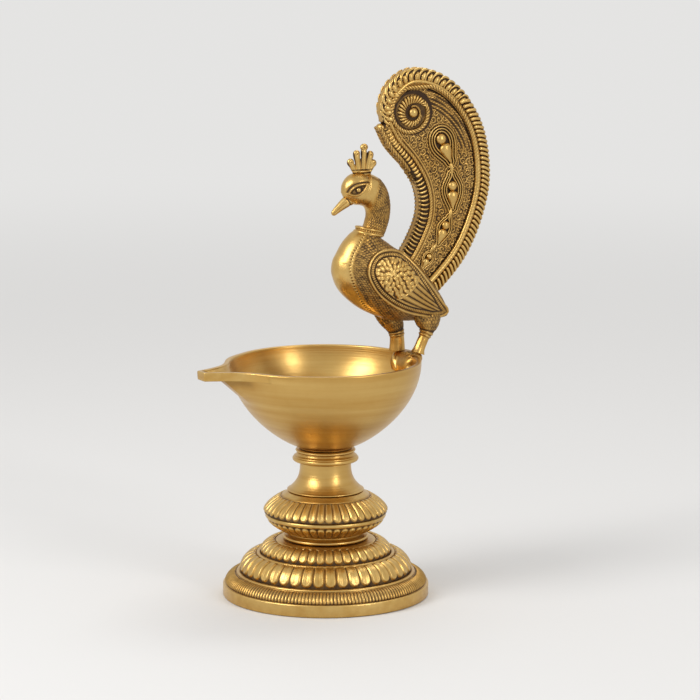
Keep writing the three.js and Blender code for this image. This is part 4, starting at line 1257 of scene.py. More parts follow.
band_points = on_neck(band_rings).reshape(-1, 3)
necklace = skin_mesh("necklace_ring", band_points, band_faces, np.concatenate(band_tones))
necklace.data.materials.append(carved_brass)
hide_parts("neck_band")
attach(necklace, "lamp_head")

# Neck and head: one brass casting
# The neck carries the same small scales as the back, and they fade out over the polished face.
# The eye is a bead in an almond hollow between two raised lids, with a brow line above it.
neck_stations = [
    (22.6, 154.0, 4.9, 4.8),
    (24.1, 157.6, 5.0, 4.8),
    (25.1, 161, 5.15, 4.8),
    (25.2, 164.6, 5.5, 5.0),
    (24.1, 168.4, 6.2, 5.5),
    (21.4, 171.8, 6.9, 6.1),
    (17.8, 173.4, 7.0, 6.5),
]
neck_parts = [
    close_ends(limb(neck_stations, 60, 48)),
    egg((15.6, 0, 173.5), (7.2, 6.4, 6.9), 40, 26),
    egg((12.4, 0, 173.4), (4.3, 4.6, 5.3), 32, 20),
]
head = cast_together("bird_neck_head", neck_parts, 0.2, 12)
head_points = lamp_points(head.data)
head_normals = lamp_normals(head.data)
x, y, z = head_points.T
neck_line = curve_through([(s[0], s[1]) for s in neck_stations], 60)
gap, along, side = along_line(neck_line, x, z)
around = np.arctan2(y, gap * side)
scale_start = np.interp(z, [155, 160, 165, 170, 175, 180], [17.4, 18.6, 19.4, 20.2, 21.6, 25.0])
scale_face = ease((x - scale_start) / 2.2)
feathers = scales(60 - along + 0.2 * np.sin(31 * around + 2 * along), around, 1.1, 32)
eye_corner = (9.5, 171.9)
eye_middle = (13.2, 173.6)
upper_lid = curve_through([eye_corner, (10.5, 173.9), (12.3, 175.3), (14.4, 175.8), (18.0, 176.0)], 30)
lower_lid = curve_through([eye_corner, (11.2, 171.3), (13.3, 171.7), (15.2, 173.2), (17.0, 175.9)], 30)
brow_line = curve_through([(9.0, 172.6), (9.8, 174.4), (11.8, 176.1), (14.2, 176.7), (18.4, 176.8)], 24)
upper_gap, _, upper_side = along_line(upper_lid, x, z)
lower_gap, _, lower_side = along_line(lower_lid, x, z)
brow_gap, _, _ = along_line(brow_line, x, z)
on_side = ease((np.abs(y) - 1.6) / 1.0)
hollow = ease((-upper_gap * upper_side) / 0.5) * ease((lower_gap * lower_side) / 0.5) * on_side
lid_half = 0.32
lids = np.maximum(mound(upper_gap, lid_half), mound(lower_gap, lid_half)) * on_side
brow = mound(brow_gap, 0.44) * on_side
from_iris = np.hypot(x - eye_middle[0], z - eye_middle[1])
ball = hollow * ease((np.minimum(upper_gap, lower_gap) - 0.6) / 0.25) * ease((from_iris - 1.65) / 0.2)
lift = 0.4 * scale_face * feathers - 0.13 * scale_face
lift += 0.34 * lids - 0.55 * hollow + 0.25 * ball - 0.32 * brow
tone = (1 - scale_face) * 0.95 + scale_face * (0.06 + 1.05 * feathers**1.6)
tone = tone * (1 - 0.97 * hollow) * (1 - 0.97 * brow)
tone = np.maximum(tone, np.maximum(0.95 * lids, 0.3 * ball))
set_surface(head.data, head_points + lift[:, None] * head_normals, tone)
head.data.materials.append(polished_brass)
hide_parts("bird_head")
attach(head, "lamp_head")

eye_heap = Heap()
for hand in (-1, 1):
    eye_heap.add(egg((eye_middle[0], hand * 5.35, eye_middle[1]), (1.0, 0.8, 1.0), 28, 18), 1)
eyes = eye_heap.mesh("eye_beads")
eyes.data.materials.append(polished_brass)
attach(eyes, "lamp_head")

# Beak: a small cone set into the face
# It is filed smooth in brass, with a line for the mouth along each side and a dark joint at its
# root, where it is let into the head.
beak_root = np.array([13.2, perch_top + 68.6])
beak_tip = np.array([3.2, perch_top + 61.6])
beak_sides = 64
beak_steps = 60
beak_share = np.linspace(0, 1, beak_steps)
beak_radius = (2.95 - 1.85 * beak_share) * np.sqrt(
    np.clip(1 - (np.maximum(beak_share - 0.9, 0) / 0.1) ** 2, 0.02, 1)
)
beak_bend = 0.3 * np.sin(math.pi * beak_share)
beak_x = beak_root[0] + (beak_tip[0] - beak_root[0]) * beak_share - 0.3 * beak_bend
beak_z = beak_root[1] + (beak_tip[1] - beak_root[1]) * beak_share + beak_bend
beak_stations = np.column_stack([beak_x, beak_z, beak_radius, 0.9 * beak_radius])
beak_rings = limb(beak_stations, beak_steps, beak_sides)
angle = full_turn(beak_sides)
down_beak = beak_share[:, None]
joint_share = 0.25
mouth_angle = 1.35
mouth = mound(np.abs(np.abs(angle - math.pi) - mouth_angle), 0.12)
mouth = mouth * ease((down_beak - joint_share) / 0.1) * ease((0.97 - down_beak) / 0.1)
joint = mound(down_beak - joint_share, 0.03) + 0 * angle
middle = beak_rings.mean(1, keepdims=True)
beak_rings = beak_rings - (0.1 * mouth + 0.08 * joint)[..., None] * (beak_rings - middle)
points, faces = close_ends(beak_rings)
tone = np.append(np.clip(1 - 0.6 * mouth - 0.95 * joint, 0, 1).reshape(-1), [0.5, 1])
beak = skin_mesh("beak_casting", points, faces, tone)
beak.data.materials.append(polished_brass)
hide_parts("beak")
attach(beak, "lamp_head")

# Crest: a fan of five plumes
# One small brass casting pinned on the crown: a double band, and five plumes joined by a thin web
# between them. Each ends in a round tip with a punched dimple, the middle one's in a ring.
crest_base = np.array([17.8, 179.6])
crest_parts = []
for level, half in ((0, 4.2), (1.15, 3.9)):
    crest_parts.append(egg((crest_base[0], 0, crest_base[1] + level), (half, 1.9, 0.72), 36, 14))
crest_parts.append(egg((crest_base[0], 0, crest_base[1] - 0.6), (3.6, 1.7, 1.6), 36, 14))
# Each plume's tip in x and height, and its half-width.
plumes = (
    (11.7, 185.4, 1.55),
    (14.8, 188.9, 1.55),
    (18.5, 190.0, 1.35),
    (21.7, 188.2, 1.55),
    (23.3, 184.4, 1.5),
)
# Shares of a plume's length, and its width there.
plume_sizes = ((0, 0.72), (0.3, 0.74), (0.6, 0.82), (0.82, 1.0), (0.92, 0.98), (1.0, 0.8), (1.06, 0.3))


def plume_root(tip_x):
    """Where a plume rises from the band."""
    return np.array([crest_base[0] + 0.56 * (tip_x - crest_base[0]), crest_base[1] + 0.8])


for tip_x, tip_z, tip_half in plumes:
    root = plume_root(tip_x)
    stations = []
    for share, size in plume_sizes:
        place = root + share * (np.array([tip_x, tip_z]) - root)
        stations.append((place[0], place[1], size * tip_half, 0.5 + 0.7 * size))
    crest_parts.append(close_ends(limb(stations, 24, 24)))
plume_ends = ((12.1, 184.9), (15.0, 188.3), (21.5, 187.7), (22.9, 184.0))
for end_x, end_z in plume_ends:
    crest_parts.append(egg((end_x, 0, end_z), (1.6, 1.3, 1.6), 24, 16))
top_bead = (18.6, 190.9)
crest_parts.append(egg((top_bead[0], 0, top_bead[1]), (1.8, 1.4, 1.6), 28, 18))
web_middle = np.array([17.8, 183.5])
web_edge = [
    (14.6, 180.4), (13.6, 182.8), (15.2, 184.8), (17.0, 186.2), (19.8, 186.2), (21.2, 184.8),
    (22.0, 182.8), (21.2, 180.4),
]
web_rings = []
for share, out in ((0.02, -0.55), (0.9, -0.55), (1, -0.35), (1, 0.35), (0.9, 0.55), (0.02, 0.55)):
    web = web_middle + share * (curve_through(web_edge, 60, True) - web_middle)
    web_rings.append(np.column_stack([web[:, 0], out + 0 * web[:, 0], web[:, 1]]))
crest_parts.append(close_ends(web_rings))
crest = cast_together("crest_plumes", crest_parts, 0.13, 4)
crest_points = lamp_points(crest.data)
crest_normals = lamp_normals(crest.data)
x, y, z = crest_points.T
lift = 0 * x
edge_gap = 0 * x + 9
for tip_x, tip_z, tip_half in plumes:
    vein, _, _ = along_line(np.array([plume_root(tip_x), (tip_x, tip_z)]), x, z)
    edge_gap = np.minimum(edge_gap, vein / tip_half)
low_part = (z > crest_base[1] + 2.2) & (np.hypot(x - top_bead[0], z - top_bead[1] - 0.2) > 1.9)
tone = 0.98 - 0.85 * ease((edge_gap - 0.62) / 0.25) * (np.abs(y) < 0.95) * low_part
for end_x, end_z in plume_ends:
    dimple = mound(np.hypot(x - end_x, z - end_z), 0.5) * (np.abs(y) > 0.6)
    tone = tone - 0.8 * dimple
    lift -= 0.2 * dimple
ring_radius = 0.62
from_bead = np.hypot(x - top_bead[0], z - top_bead[1] - 0.3)
ring = mound(from_bead - ring_radius, 0.16) * (np.abs(y) > 0.5)
tone = np.clip(tone - 0.9 * ring, 0, 1)
lift -= 0.2 * ring
tone = np.where(np.abs(z - crest_base[1] - 0.6) < 0.22, 0.1, tone)
tone = np.where(np.abs(z - crest_base[1] - 1.9) < 0.2, 0.15, tone)
set_surface(crest.data, crest_points + lift[:, None] * crest_normals, tone)
crest.data.materials.append(carved_brass)
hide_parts("crest")
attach(crest, "lamp_head")

# Tail: the carved crescent
# One thick brass casting, alike on both faces: slanted ribs and curled leaves wrap its outer edge,
# a rail rolls into the scroll, rungs line its inner edge, and dark scrollwork fills the flat.
tail_outer = curve_through(
    [(47, 18), (67.7, 39.1), (77.3, 59.2), (80, 75.2), (76.4, 96.2), (66, 111.9),
     (52, 120.8), (38.6, 121.9), (28.6, 115.2), (25.1, 105.6), (26.4, 100), (24.4, 97)],
    400,
) + np.array([0, perch_top])
tail_inner = curve_through(
    [(24.4, 97), (29, 89), (37.8, 79), (43.2, 69.2), (43.8, 60), (38.6, 48.2), (31, 38)],
    220,
) + np.array([0, perch_top])
scroll_middle = np.array([40.9, perch_top + 103.2])
before_nose = tail_outer[:392]
before_scroll = tail_outer[:292]
round_scroll = tail_outer[248:380]
ribbed_edge = tail_outer[6:390]
leafy_border = tail_inner[:78]
rail_inset = 7.0
band_inset = 6.0
inner_rope_inset = 5.9
border_inset = 1.05


def inward_of(path):
    """The direction to the left of a path at each of its points, which is into the tail."""
    course = np.gradient(path, axis=0)
    course /= np.linalg.norm(course, axis=1)[:, None]
    return np.column_stack([-course[:, 1], course[:, 0]])


def inset_line(path, distance):
    """The path moved into the tail by a distance."""
    return path + distance * inward_of(path)


def sweep(path, sections):
    """Rings along a path seen from the side, from sections of inward and sideways offsets."""
    inward = inward_of(path)[:, None]
    sections = np.broadcast_to(sections, (len(path),) + sections.shape[-2:])
    x = path[:, None, 0] + inward[..., 0] * sections[..., 0]
    z = path[:, None, 1] + inward[..., 1] * sections[..., 0]
    return np.stack([x, sections[..., 1], z], -1)


def evenly(path, spacing):
    """The path's points again at an even spacing."""
    length = lengths_along(path)[-1]
    return at_marks(path, np.linspace(0, length, max(int(length / spacing), 2) + 1))


def spread(values, marks):
    """A value that changes along a path, from a few values at even places on it."""
    values = np.atleast_1d(values)
    return np.interp(marks, np.linspace(0, 1, len(values)), values)[:, None]


def rope(path, radius, spacing, depth, y, slant=1.5):
    """A twisted cord along a path; depth says how deep the lay is cut along it."""
    track = evenly(path, spacing / 8)
    marks = np.linspace(0, 1, len(track))
    deep = spread(depth, marks)
    angle = full_turn(14)
    turns = lengths_along(track)[-1] / spacing
    lay = np.abs(np.cos(slant * angle - math.pi * marks[:, None] * turns))
    reach = spread(radius, marks) * (1 - deep * (1 - lay**0.7))
    section = np.stack([reach * np.cos(angle), y + reach * np.sin(angle)], -1)
    tone = 1 - (1 - lay) * np.minimum(deep * 5, 1)
    points, faces = close_ends(sweep(track, section))
    return (points, faces), np.append(tone.reshape(-1), [0.5, 0.5])


def curls(across, along, size):
    """Carved scrolls on a flat: offset rows of small spirals, with the height of each from 0 to 1."""
    best = 0 * across
    row = np.floor(along / (0.86 * size))
    for step in (-1, 0, 1):
        line_row = row + step
        shift = 0.5 * np.mod(line_row, 2)
        column = np.floor(across / size - shift + 0.5)
        dx = across - (column + shift) * size
        dz = along - (line_row + 0.5) * 0.86 * size
        reach = np.hypot(dx, dz) / (0.56 * size)
        hand = np.where(np.mod(line_row + column, 2) < 1, 1, -1)
        swirl = hand * np.arctan2(dz, dx) + 2.4 * line_row + 1.3 * column
        curl = (0.5 + 0.5 * np.cos(swirl - 8.5 * reach)) ** 1.5 * ease((1 - reach) / 0.16)
        best = np.maximum(best, curl)
    return best


tail_heap = Heap()
outer_course = evenly(before_nose, 0.8)
# Points of a section: inward from the edge, out from the middle plane, and relief.
outer_face = [
    (0.5, 0, 0.85), (0.6, 1.3, 0.75), (0.95, 1.9, 0.15), (1.7, 2.2, 0), (5.3, 2.2, 0), (5.6, 2.4, 0.5),
    (8.2, 2.4, 0.5), (8.45, 1.9, 0), (8.6, 1.4, 0), (9.0, 1.4, 0), (9.3, 1.5, 0), (9.4, 0, 0),
]


def both_faces(face, stop):
    """A section's offsets and tones, across the near face and back along the far one to a stop."""
    back = face[-2:stop:-1]
    offsets = [(inward, -out) for inward, out, _ in face] + [(inward, out) for inward, out, _ in back]
    return np.array(offsets), [tone for _, _, tone in face + back]


outer_section, outer_tones = both_faces(outer_face, 0)
outer_sections = np.tile(outer_section, (len(outer_course), 1, 1))
to_nose = lengths_along(outer_course)
to_nose = to_nose[-1] - to_nose
outer_sections[:, :, 0] *= (0.3 + 0.7 * ease(to_nose / 14))[:, None]
outer_shape = close_ends(sweep(outer_course, outer_sections))
tail_heap.add(outer_shape, np.append(np.tile(outer_tones, len(outer_course)), [0, 0]))

# The inner border's own face is carved with curled leaves from the nose to halfway down.
inner_course = evenly(tail_inner, 0.3)
inner_walk = lengths_along(inner_course)[:, None]
side_out = np.linspace(-2.6, 2.6, 21)[::-1]
leaves_end = 32
leafy = ease((leaves_end - inner_walk) / 5)
leaves = curls(inner_walk + 0 * side_out, side_out + 9.1, 3.6)
crown = 0.45 * (1 - (side_out / 3.4) ** 2)
ticks = 0.5 + 0.5 * np.cos(2 * math.pi * (inner_walk - 3) / 1.65)
ticks = ticks * ease((np.abs(side_out) - 1.0) / 0.5)
by_face = ease((np.abs(side_out) - 0.9) / 0.4)
side_in = 0.85 - crown + leafy * (0.45 - 0.9 * leaves) + (1 - leafy) * (0.2 * by_face - 0.45 * ticks)
side_section = np.stack([side_in, -side_out + 0 * side_in], -1)
side_tone = (1 - leafy) * (0.6 - 0.5 * by_face + 0.8 * ticks) + leafy * 0.85 * leaves
inner_face = [
    (1.9, 2.3, 0.1), (2.1, 2.05, 0), (5.0, 2.05, 0), (5.2, 2.3, 0), (6.7, 2.3, 0), (7.0, 1.8, 0),
    (7.3, 2.45, 0.7), (7.65, 2.62, 1), (8.0, 2.35, 0.6), (8.2, 1.5, 0), (8.3, 0, 0),
]
inner_section, rest_tones = both_faces(inner_face, None)
steps = len(inner_course)
inner_sections = np.concatenate([side_section, np.tile(inner_section, (steps, 1, 1))], axis=1)
inner_tones = np.concatenate([side_tone, np.tile(rest_tones, (steps, 1))], axis=1)
inner_shape = close_ends(sweep(inner_course, inner_sections))
tail_heap.add(inner_shape, np.append(inner_tones.reshape(-1), [0, 0]))

turn_in = np.radians(np.linspace(96, 400, 140))


def ring_reach(degrees):
    """Distance of the rope from the scroll's middle, at an angle counted on as it rolls in."""
    return np.interp(degrees, [96, 180, 230, 270, 315, 360, 400], [11.0, 10.4, 9.1, 8.1, 7.7, 7.3, 6.9])


scroll_turn = np.column_stack([np.cos(turn_in), np.sin(turn_in)])
scroll_turn = scroll_middle + ring_reach(np.degrees(turn_in))[:, None] * scroll_turn
outer_rail = inset_line(before_scroll, rail_inset)
rail_bridge = curve_through([outer_rail[-1], scroll_turn[6], scroll_turn[12]], 12)
rail_path = np.vstack([outer_rail, rail_bridge[1:], scroll_turn[13:]])
rail_lay = [0.04, 0.04, 0.05, 0.07, 0.16, 0.3, 0.32, 0.32, 0.3]
rail_size = [1.35, 1.4, 1.4, 1.4, 1.3, 1.15, 1.1, 1.1, 1.0]
outer_band = inset_line(round_scroll, band_inset)
inner_rope = inset_line(tail_inner, inner_rope_inset)
border_rope = inset_line(leafy_border, border_inset)
hook_turn = np.radians(np.linspace(650, 830, 40))
hook_reach = np.interp(np.degrees(hook_turn), [650, 720, 800, 830], [3.7, 3.2, 2.9, 2.5])
hook = scroll_middle + hook_reach[:, None] * np.column_stack([np.cos(hook_turn), np.sin(hook_turn)])
# Path, radius, pitch of the lay, depth of the lay and distance from the middle plane.
cords = (
    (rail_path, rail_size, 1.45, rail_lay, 2.3),
    (outer_band, [0.5, 0.8, 0.85, 0.85, 0.8], 1.6, [0.03], 2.3),
    (inner_rope, 0.85, 1.3, [0.16, 0.16, 0.08], 2.35),
    (border_rope, [0.7, 0.95, 0.95, 0.5], 1.7, [0.26], 2.35),
    (hook, [0.35, 0.5, 0.5, 0.4], 1.3, [0.2], 2.6),
)
for hand in (-1, 1):
    for cord_path, radius, spacing, depth, out in cords:
        tail_heap.add(*rope(cord_path, radius, spacing, depth, out * hand, 1.5 * hand))
tail_frame = tail_heap.mesh("tail_frame")
tail_frame.data.materials.append(carved_brass)
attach(tail_frame, "lamp_head")


def scatter_tree():
    """Sets a shape on every point of a mesh, turned and sized by the point's attributes."""
    inputs = (("Places", "Geometry"), ("Shape", "Object"), ("Metal", "Material"))
    tree = new_group("set_on_points", "GeometryNodeTree", inputs, [("Shapes", "Geometry")])
    given = node(tree, "NodeGroupInput").outputs
    shape = node(tree, "GeometryNodeObjectInfo", {"Object": given["Shape"]})
    points = node(tree, "GeometryNodeMeshToPoints", {"Mesh": given["Places"]})
    turn = node(tree, "GeometryNodeInputNamedAttribute", {"Name": "turn"}, data_type="FLOAT_VECTOR")
    size = node(tree, "GeometryNodeInputNamedAttribute", {"Name": "size"}, data_type="FLOAT_VECTOR")
    rotation = node(tree, "FunctionNodeEulerToRotation", {0: turn.outputs[0]})
    copies = node(
        tree,
        "GeometryNodeInstanceOnPoints",
        {
            "Points": points.outputs[0],
            "Instance": shape.outputs["Geometry"],
            "Rotation": rotation.outputs[0],
            "Scale": size.outputs[0],
        },
    )
    real = node(tree, "GeometryNodeRealizeInstances", {0: copies.outputs[0]})
    coated = node(
        tree, "GeometryNodeSetMaterial", {"Geometry": real.outputs[0], "Material": given["Metal"]}
    )
    node(tree, "NodeGroupOutput", {0: coated.outputs[0]})
    return tree


set_on_points = scatter_tree()


def set_shapes(name, shape, tone, places, turns, sizes):
    """Sets brass copies of a shape, which is made round its own origin, and keeps one mesh."""
    pattern = make_mesh(name + "_shape", *shape, tone, origin=0)
    piece = make_mesh(name, places, [], 1)
    for label, values in (("turn", turns), ("size", sizes)):
        layer = piece.data.attributes.new(label, "FLOAT_VECTOR", "POINT")
        layer.data.foreach_set("vector", np.asarray(values, dtype=np.float32).reshape(-1))
    grow(piece, set_on_points, {"Shape": pattern, "Metal": carved_brass})
    for label in ("turn", "size"):
        if label in piece.data.attributes:
            piece.data.attributes.remove(piece.data.attributes[label])
    bpy.data.objects.remove(pattern)
    return piece


def on_middle(path, marks):
    """Places on the lamp's middle plane, at distances along a path."""
    places = at_marks(path, marks)
    return np.column_stack([places[:, 0], 0 * marks, places[:, 1]])


def facing(path, marks):
    """Turns that lay a shape's x along a path and its z into the tail, at places on the path."""
    inward = at_marks(np.column_stack([path, inward_of(path)]), marks)[:, 2:]
    return np.column_stack([0 * marks, np.arctan2(inward[:, 0], inward[:, 1]), 0 * marks])


rib_circle = full_turn(10)
rib_wide = np.sign(np.cos(rib_circle)) * np.abs(np.cos(rib_circle)) ** 0.75
rib_tall = np.sign(np.sin(rib_circle)) * np.abs(np.sin(rib_circle)) ** 0.85
rib_steps = 31


def gadroon(middle, width, height, reach, lean):
    """A curved rib that wraps the edge from one face to the other, and its relief."""
    rings = []
    for place in np.linspace(-1, 1, rib_steps):
        side = -1 if place < 0 else 1
        far = abs(place)
        over = min(far / 0.3, 1) * math.pi / 2
        depth = max(far - 0.3, 0) / 0.7
        inward = height + 1.3 * (1 - math.cos(over)) + (reach - height - 1.3) * depth
        out = side * 2.35 * math.sin(over)
        up_in, up_out = -math.cos(over), side * math.sin(over)
        share = np.clip((inward - height) / (reach - height), 0, 1)
        sag = middle + lean * (1 - (1 - share) ** 2.2)
        taper = math.sqrt(max(1 - max(far - 0.8, 0) ** 2 / 0.045, 0.04))
        tall = height * taper * rib_tall
        rings.append(np.column_stack([
            sag + width * taper * rib_wide, out + up_out * tall, inward + up_in * tall
        ]))
    tone = np.append(np.tile(0.12 + 0.9 * np.abs(rib_tall), rib_steps), [0.3, 0.3])
    return close_ends(rings), tone


rib_pitch = 2.15
leaf_pitch = 3.8
edge_length = lengths_along(ribbed_edge)[-1]
rib_marks = [0]
rib_gaps = [rib_pitch]
while rib_marks[-1] < edge_length - 1.5:
    share = rib_marks[-1] / edge_length
    rib_gaps.append(rib_pitch + (leaf_pitch - rib_pitch) * float(ease((share - 0.52) / 0.2)))
    rib_marks.append(rib_marks[-1] + rib_gaps[-1])
rib_marks = np.array(rib_marks)
rib_gaps = np.array(rib_gaps)
leafed = rib_gaps > 2.8
edge_places = on_middle(ribbed_edge, rib_marks)
edge_turns = facing(ribbed_edge, rib_marks)
small_rib, small_tone = gadroon(0, 0.86, 1.0, 5.7, 2.2)
leaf = Heap()
leaf_rim = curve_through(
    [(2.4, 5.7), (2.6, 4.3), (2.4, 3.0), (1.7, 1.75), (0.6, 0.95), (-0.7, 0.62), (-1.7, 0.7)], 24
)
for hand in (-1, 1):
    (rim_points, rim_faces), _ = rope(leaf_rim, [0.3, 0.46, 0.54, 0.54, 0.4], 4, [0], 2.4 * hand)
    rim_points[:, 1] -= 0.75 * hand * ease((1.9 - rim_points[:, 2]) / 1.6)
    leaf.add((rim_points, rim_faces), 1)
    lobe, lobe_faces = egg((0, 2.25 * hand, 0), (1.15, 0.95, 1.85), 18, 12)
    lobe = np.column_stack([lobe[:, 0] + 0.35 + 0.2 * lobe[:, 2], lobe[:, 1], lobe[:, 2] + 3.85])
    leaf.add((lobe, lobe_faces), 1)
leaf_shape = (leaf.points, leaf.faces)
for name, shape, tone, chosen, pitch in (
    ("tail_gadroons", small_rib, small_tone, ~leafed, rib_pitch),
    ("tail_leaves", leaf_shape, leaf.tones, leafed, leaf_pitch),
):
    sizes = np.column_stack([rib_gaps / pitch, 1 + 0 * rib_gaps, 1 + 0 * rib_gaps])[chosen]
    wrapped = set_shapes(name, shape, tone, edge_places[chosen], edge_turns[chosen], sizes)
    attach(wrapped, "lamp_head")

rung_pitch = 1.65
rung_marks = np.arange(3, lengths_along(tail_inner)[-1], rung_pitch)
rung_line = on_middle(tail_inner, rung_marks)
rung_turns = facing(tail_inner, rung_marks)
short_rungs_end = 29
by_edge = rung_marks > short_rungs_end
for name, chosen, low, long, tall, half in (
    ("tail_rungs", by_edge, 0.4, 4.7, 0.85, 0.55),
    ("tail_short_rungs", ~by_edge, 2.2, 2.9, 0.35, 0.74),
):
    rung = Heap()
    for hand in (-1, 1):
        rung_rings = []
        for share in np.linspace(0, 1, 11):
            fat = math.sqrt(max(1 - abs(2 * share - 1) ** 3, 0.02))
            bow = 0.5 * (1 - (2 * share - 1) ** 2)
            rung_rings.append(np.column_stack([
                half * fat * rib_wide + bow,
                2.05 * hand + tall * fat * rib_tall,
                low + long * share + 0 * rib_wide,
            ]))
        rung.add(close_ends(rung_rings), np.append(np.tile(0.05 + 0.95 * np.abs(rib_tall), 11), [0, 0]))
    shape = (rung.points, rung.faces)
    sizes = np.ones((int(chosen.sum()), 3))
    rungs = set_shapes(name, shape, rung.tones, rung_line[chosen], rung_turns[chosen], sizes)
    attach(rungs, "lamp_head")


def drop_outline(half):
    """A closed outline from its right half, which runs from the top down to the point."""
    left = [(-across, up) for across, up in half[-2:0:-1]]
    return curve_through(half + left, 96, True)


round_ogee = drop_outline(
    [(0, 6.2), (2.4, 5.2), (3.7, 2.6), (3.6, -0.3), (2.2, -3.6), (0.75, -6.6), (0, -9.4)]
)
lemon_ogee = drop_outline(
    [(0, 9.2), (0.7, 7.0), (2.2, 4.6), (3.4, 1.6), (3.1, -1.4), (1.9, -4.4), (0.6, -7.0), (0, -9.2)]
)
# Each eyespot's middle in x and height, its tilt in degrees, its size and its outline.
eyespots = (
    (55.8, 190.4, 26, 0.96, round_ogee),
    (60.4, 170.0, 2, 0.86, lemon_ogee),
    (56.2, 153.7, -24, 0.74, lemon_ogee),
    (48.2, 141.4, -34, 0.52, round_ogee),
)
loop_growth = (0, 1.25, 2.5)
large_spot = 0.8


def beside_loop(loop):
    """The direction to the left of a closed loop at each of its points."""
    course = np.roll(loop, -1, 0) - np.roll(loop, 1, 0)
    course /= np.linalg.norm(course, axis=1)[:, None]
    return np.column_stack([-course[:, 1], course[:, 0]])


def spot_place(spot, points):
    """Moves points from an eyespot's own frame to its place on the tail."""
    x, z, tilt, size, _ = spot
    lean = math.radians(tilt)
    points = np.asarray(points) * size
    across = points[..., 0] * math.cos(lean) - points[..., 1] * math.sin(lean)
    up = points[..., 0] * math.sin(lean) + points[..., 1] * math.cos(lean)
    return np.stack([x + across, z + up], -1)


ground_grain = 0.2
ground_x = np.arange(24, 78, ground_grain)
ground_z = np.arange(perch_top + 22, perch_top + 121, ground_grain)
grid_x, grid_z = np.meshgrid(ground_x, ground_z)
flat_x, flat_z = grid_x.ravel(), grid_z.ravel()


def inside_of(outline, x, z):
    """Which places lie inside a closed outline."""
    inside = np.zeros(len(x), bool)
    for (ax, az), (bx, bz) in zip(outline, np.roll(outline, -1, 0)):
        crosses = (az > z) != (bz > z)
        reached = ax + (z - az) * (bx - ax) / (bz - az if bz != az else 1)
        inside ^= crosses & (x < reached)
    return inside


inside = inside_of(np.vstack([tail_outer[::3], tail_inner[1::3]]), flat_x, flat_z)
outer_gap, outer_along, _ = along_line(tail_outer[::4], flat_x, flat_z)
inner_gap, inner_along, _ = along_line(tail_inner[::4], flat_x, flat_z)
by_nose = (flat_x < 38) & (flat_z > perch_top + 90)
kept = inside & (outer_gap > np.where(by_nose, 2.0, 8.9)) & (inner_gap > np.where(by_nose, 1.6, 7.3))
kept = kept.reshape(grid_x.shape)
ground = curls(flat_x + 0.5 * np.sin(flat_z / 2.1), flat_z, 3.1)
fine_curls = curls(flat_x + 1.1, flat_z + 0.9 + 0.4 * np.sin(flat_x / 1.7), 2.1)
ground = np.maximum(ground, 0.55 * fine_curls)
high_up = ease((flat_z - perch_top - 84) / 6) * ease((flat_x - 46) / 4)
frond_pitch = 1.7
fronds = mound(np.mod(outer_gap - 0.1 * outer_along, frond_pitch) - frond_pitch / 2, 0.52)
fronds = fronds * (0.7 + 0.3 * np.cos(2 * math.pi * (outer_along - outer_gap) / 1.9))
ground = np.where((high_up > 0.5) & (outer_gap < 15), fronds, ground)
cord_half = 0.42
strand_pitch = 1.3
for at_gap, walked, distance in ((outer_gap, outer_along, 10.6), (inner_gap, inner_along, 8.6)):
    strand = mound(at_gap - distance, cord_half)
    lay = 0.7 + 0.3 * np.cos(2 * math.pi * walked / strand_pitch)
    ground = np.where(strand > 0.25, strand * lay, ground)
for spot in eyespots:
    *_, size, outline = spot
    ring_line = spot_place(spot, np.vstack([outline, outline[:1]]))
    ring_gap, ring_along, _ = along_line(ring_line[::2], flat_x, flat_z)
    outside = np.where(inside_of(ring_line[:-1:2], flat_x, flat_z), -ring_gap, ring_gap)
    outside -= loop_growth[-1 if size > large_spot else -2] * size
    lay = 0.75 + 0.25 * np.cos(2 * math.pi * (ring_along / 1.1 + outside / 1.2))
    corded = (outside > 0.4) & (outside < 1.0 + 0.7 * (size > large_spot))
    ground = np.where(corded, mound(outside - 1.1, cord_half) * lay, ground)
    ground = np.where(outside < -0.2, 0, ground)
scroll_clearing = 9.6
from_scroll = np.hypot(flat_x - scroll_middle[0], flat_z - scroll_middle[1])
ground = np.where(from_scroll < scroll_clearing, 0, ground).reshape(grid_x.shape)


def slab(kept, heights, tones):
    """A plate on a grid of kept points, carved alike on both faces and closed at its edge."""
    rows, columns = kept.shape
    cells = kept[:-1, :-1] & kept[1:, :-1] & kept[:-1, 1:] & kept[1:, 1:]
    used = np.zeros(kept.shape, bool)
    for down, over in ((0, 0), (1, 0), (0, 1), (1, 1)):
        used[down : rows - 1 + down, over : columns - 1 + over] |= cells
    number = -np.ones(kept.shape, int)
    number[used] = np.arange(used.sum())
    total = used.sum()
    near = np.column_stack([grid_x[used], -heights[used], grid_z[used]])
    far = np.column_stack([grid_x[used], heights[used], grid_z[used]])
    a, b = number[:-1, :-1][cells], number[:-1, 1:][cells]
    c, d = number[1:, 1:][cells], number[1:, :-1][cells]
    front = np.column_stack([a, b, c, d])
    faces = [front, front[:, ::-1] + total]
    padded = np.pad(cells, 1)
    for shift_row, shift_column, first, second in (
        (-1, 0, a, b), (1, 0, c, d), (0, -1, d, a), (0, 1, b, c)
    ):
        beside = padded[
            1 + shift_row : 1 + shift_row + cells.shape[0],
            1 + shift_column : 1 + shift_column + cells.shape[1],
        ][cells]
        start, end = first[~beside], second[~beside]
        faces.append(np.column_stack([end, start, start + total, end + total]))
    return np.vstack([near, far]), np.vstack(faces).tolist(), np.tile(tones[used], 2)


plate_half = 2.0
carving_height = 0.6
slab_parts = slab(kept, plate_half + carving_height * ground, 0.02 + 0.9 * ground)
tail_ground = skin_mesh("tail_ground", *slab_parts)
tail_ground.data.materials.append(carved_brass)
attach(tail_ground, "lamp_head")

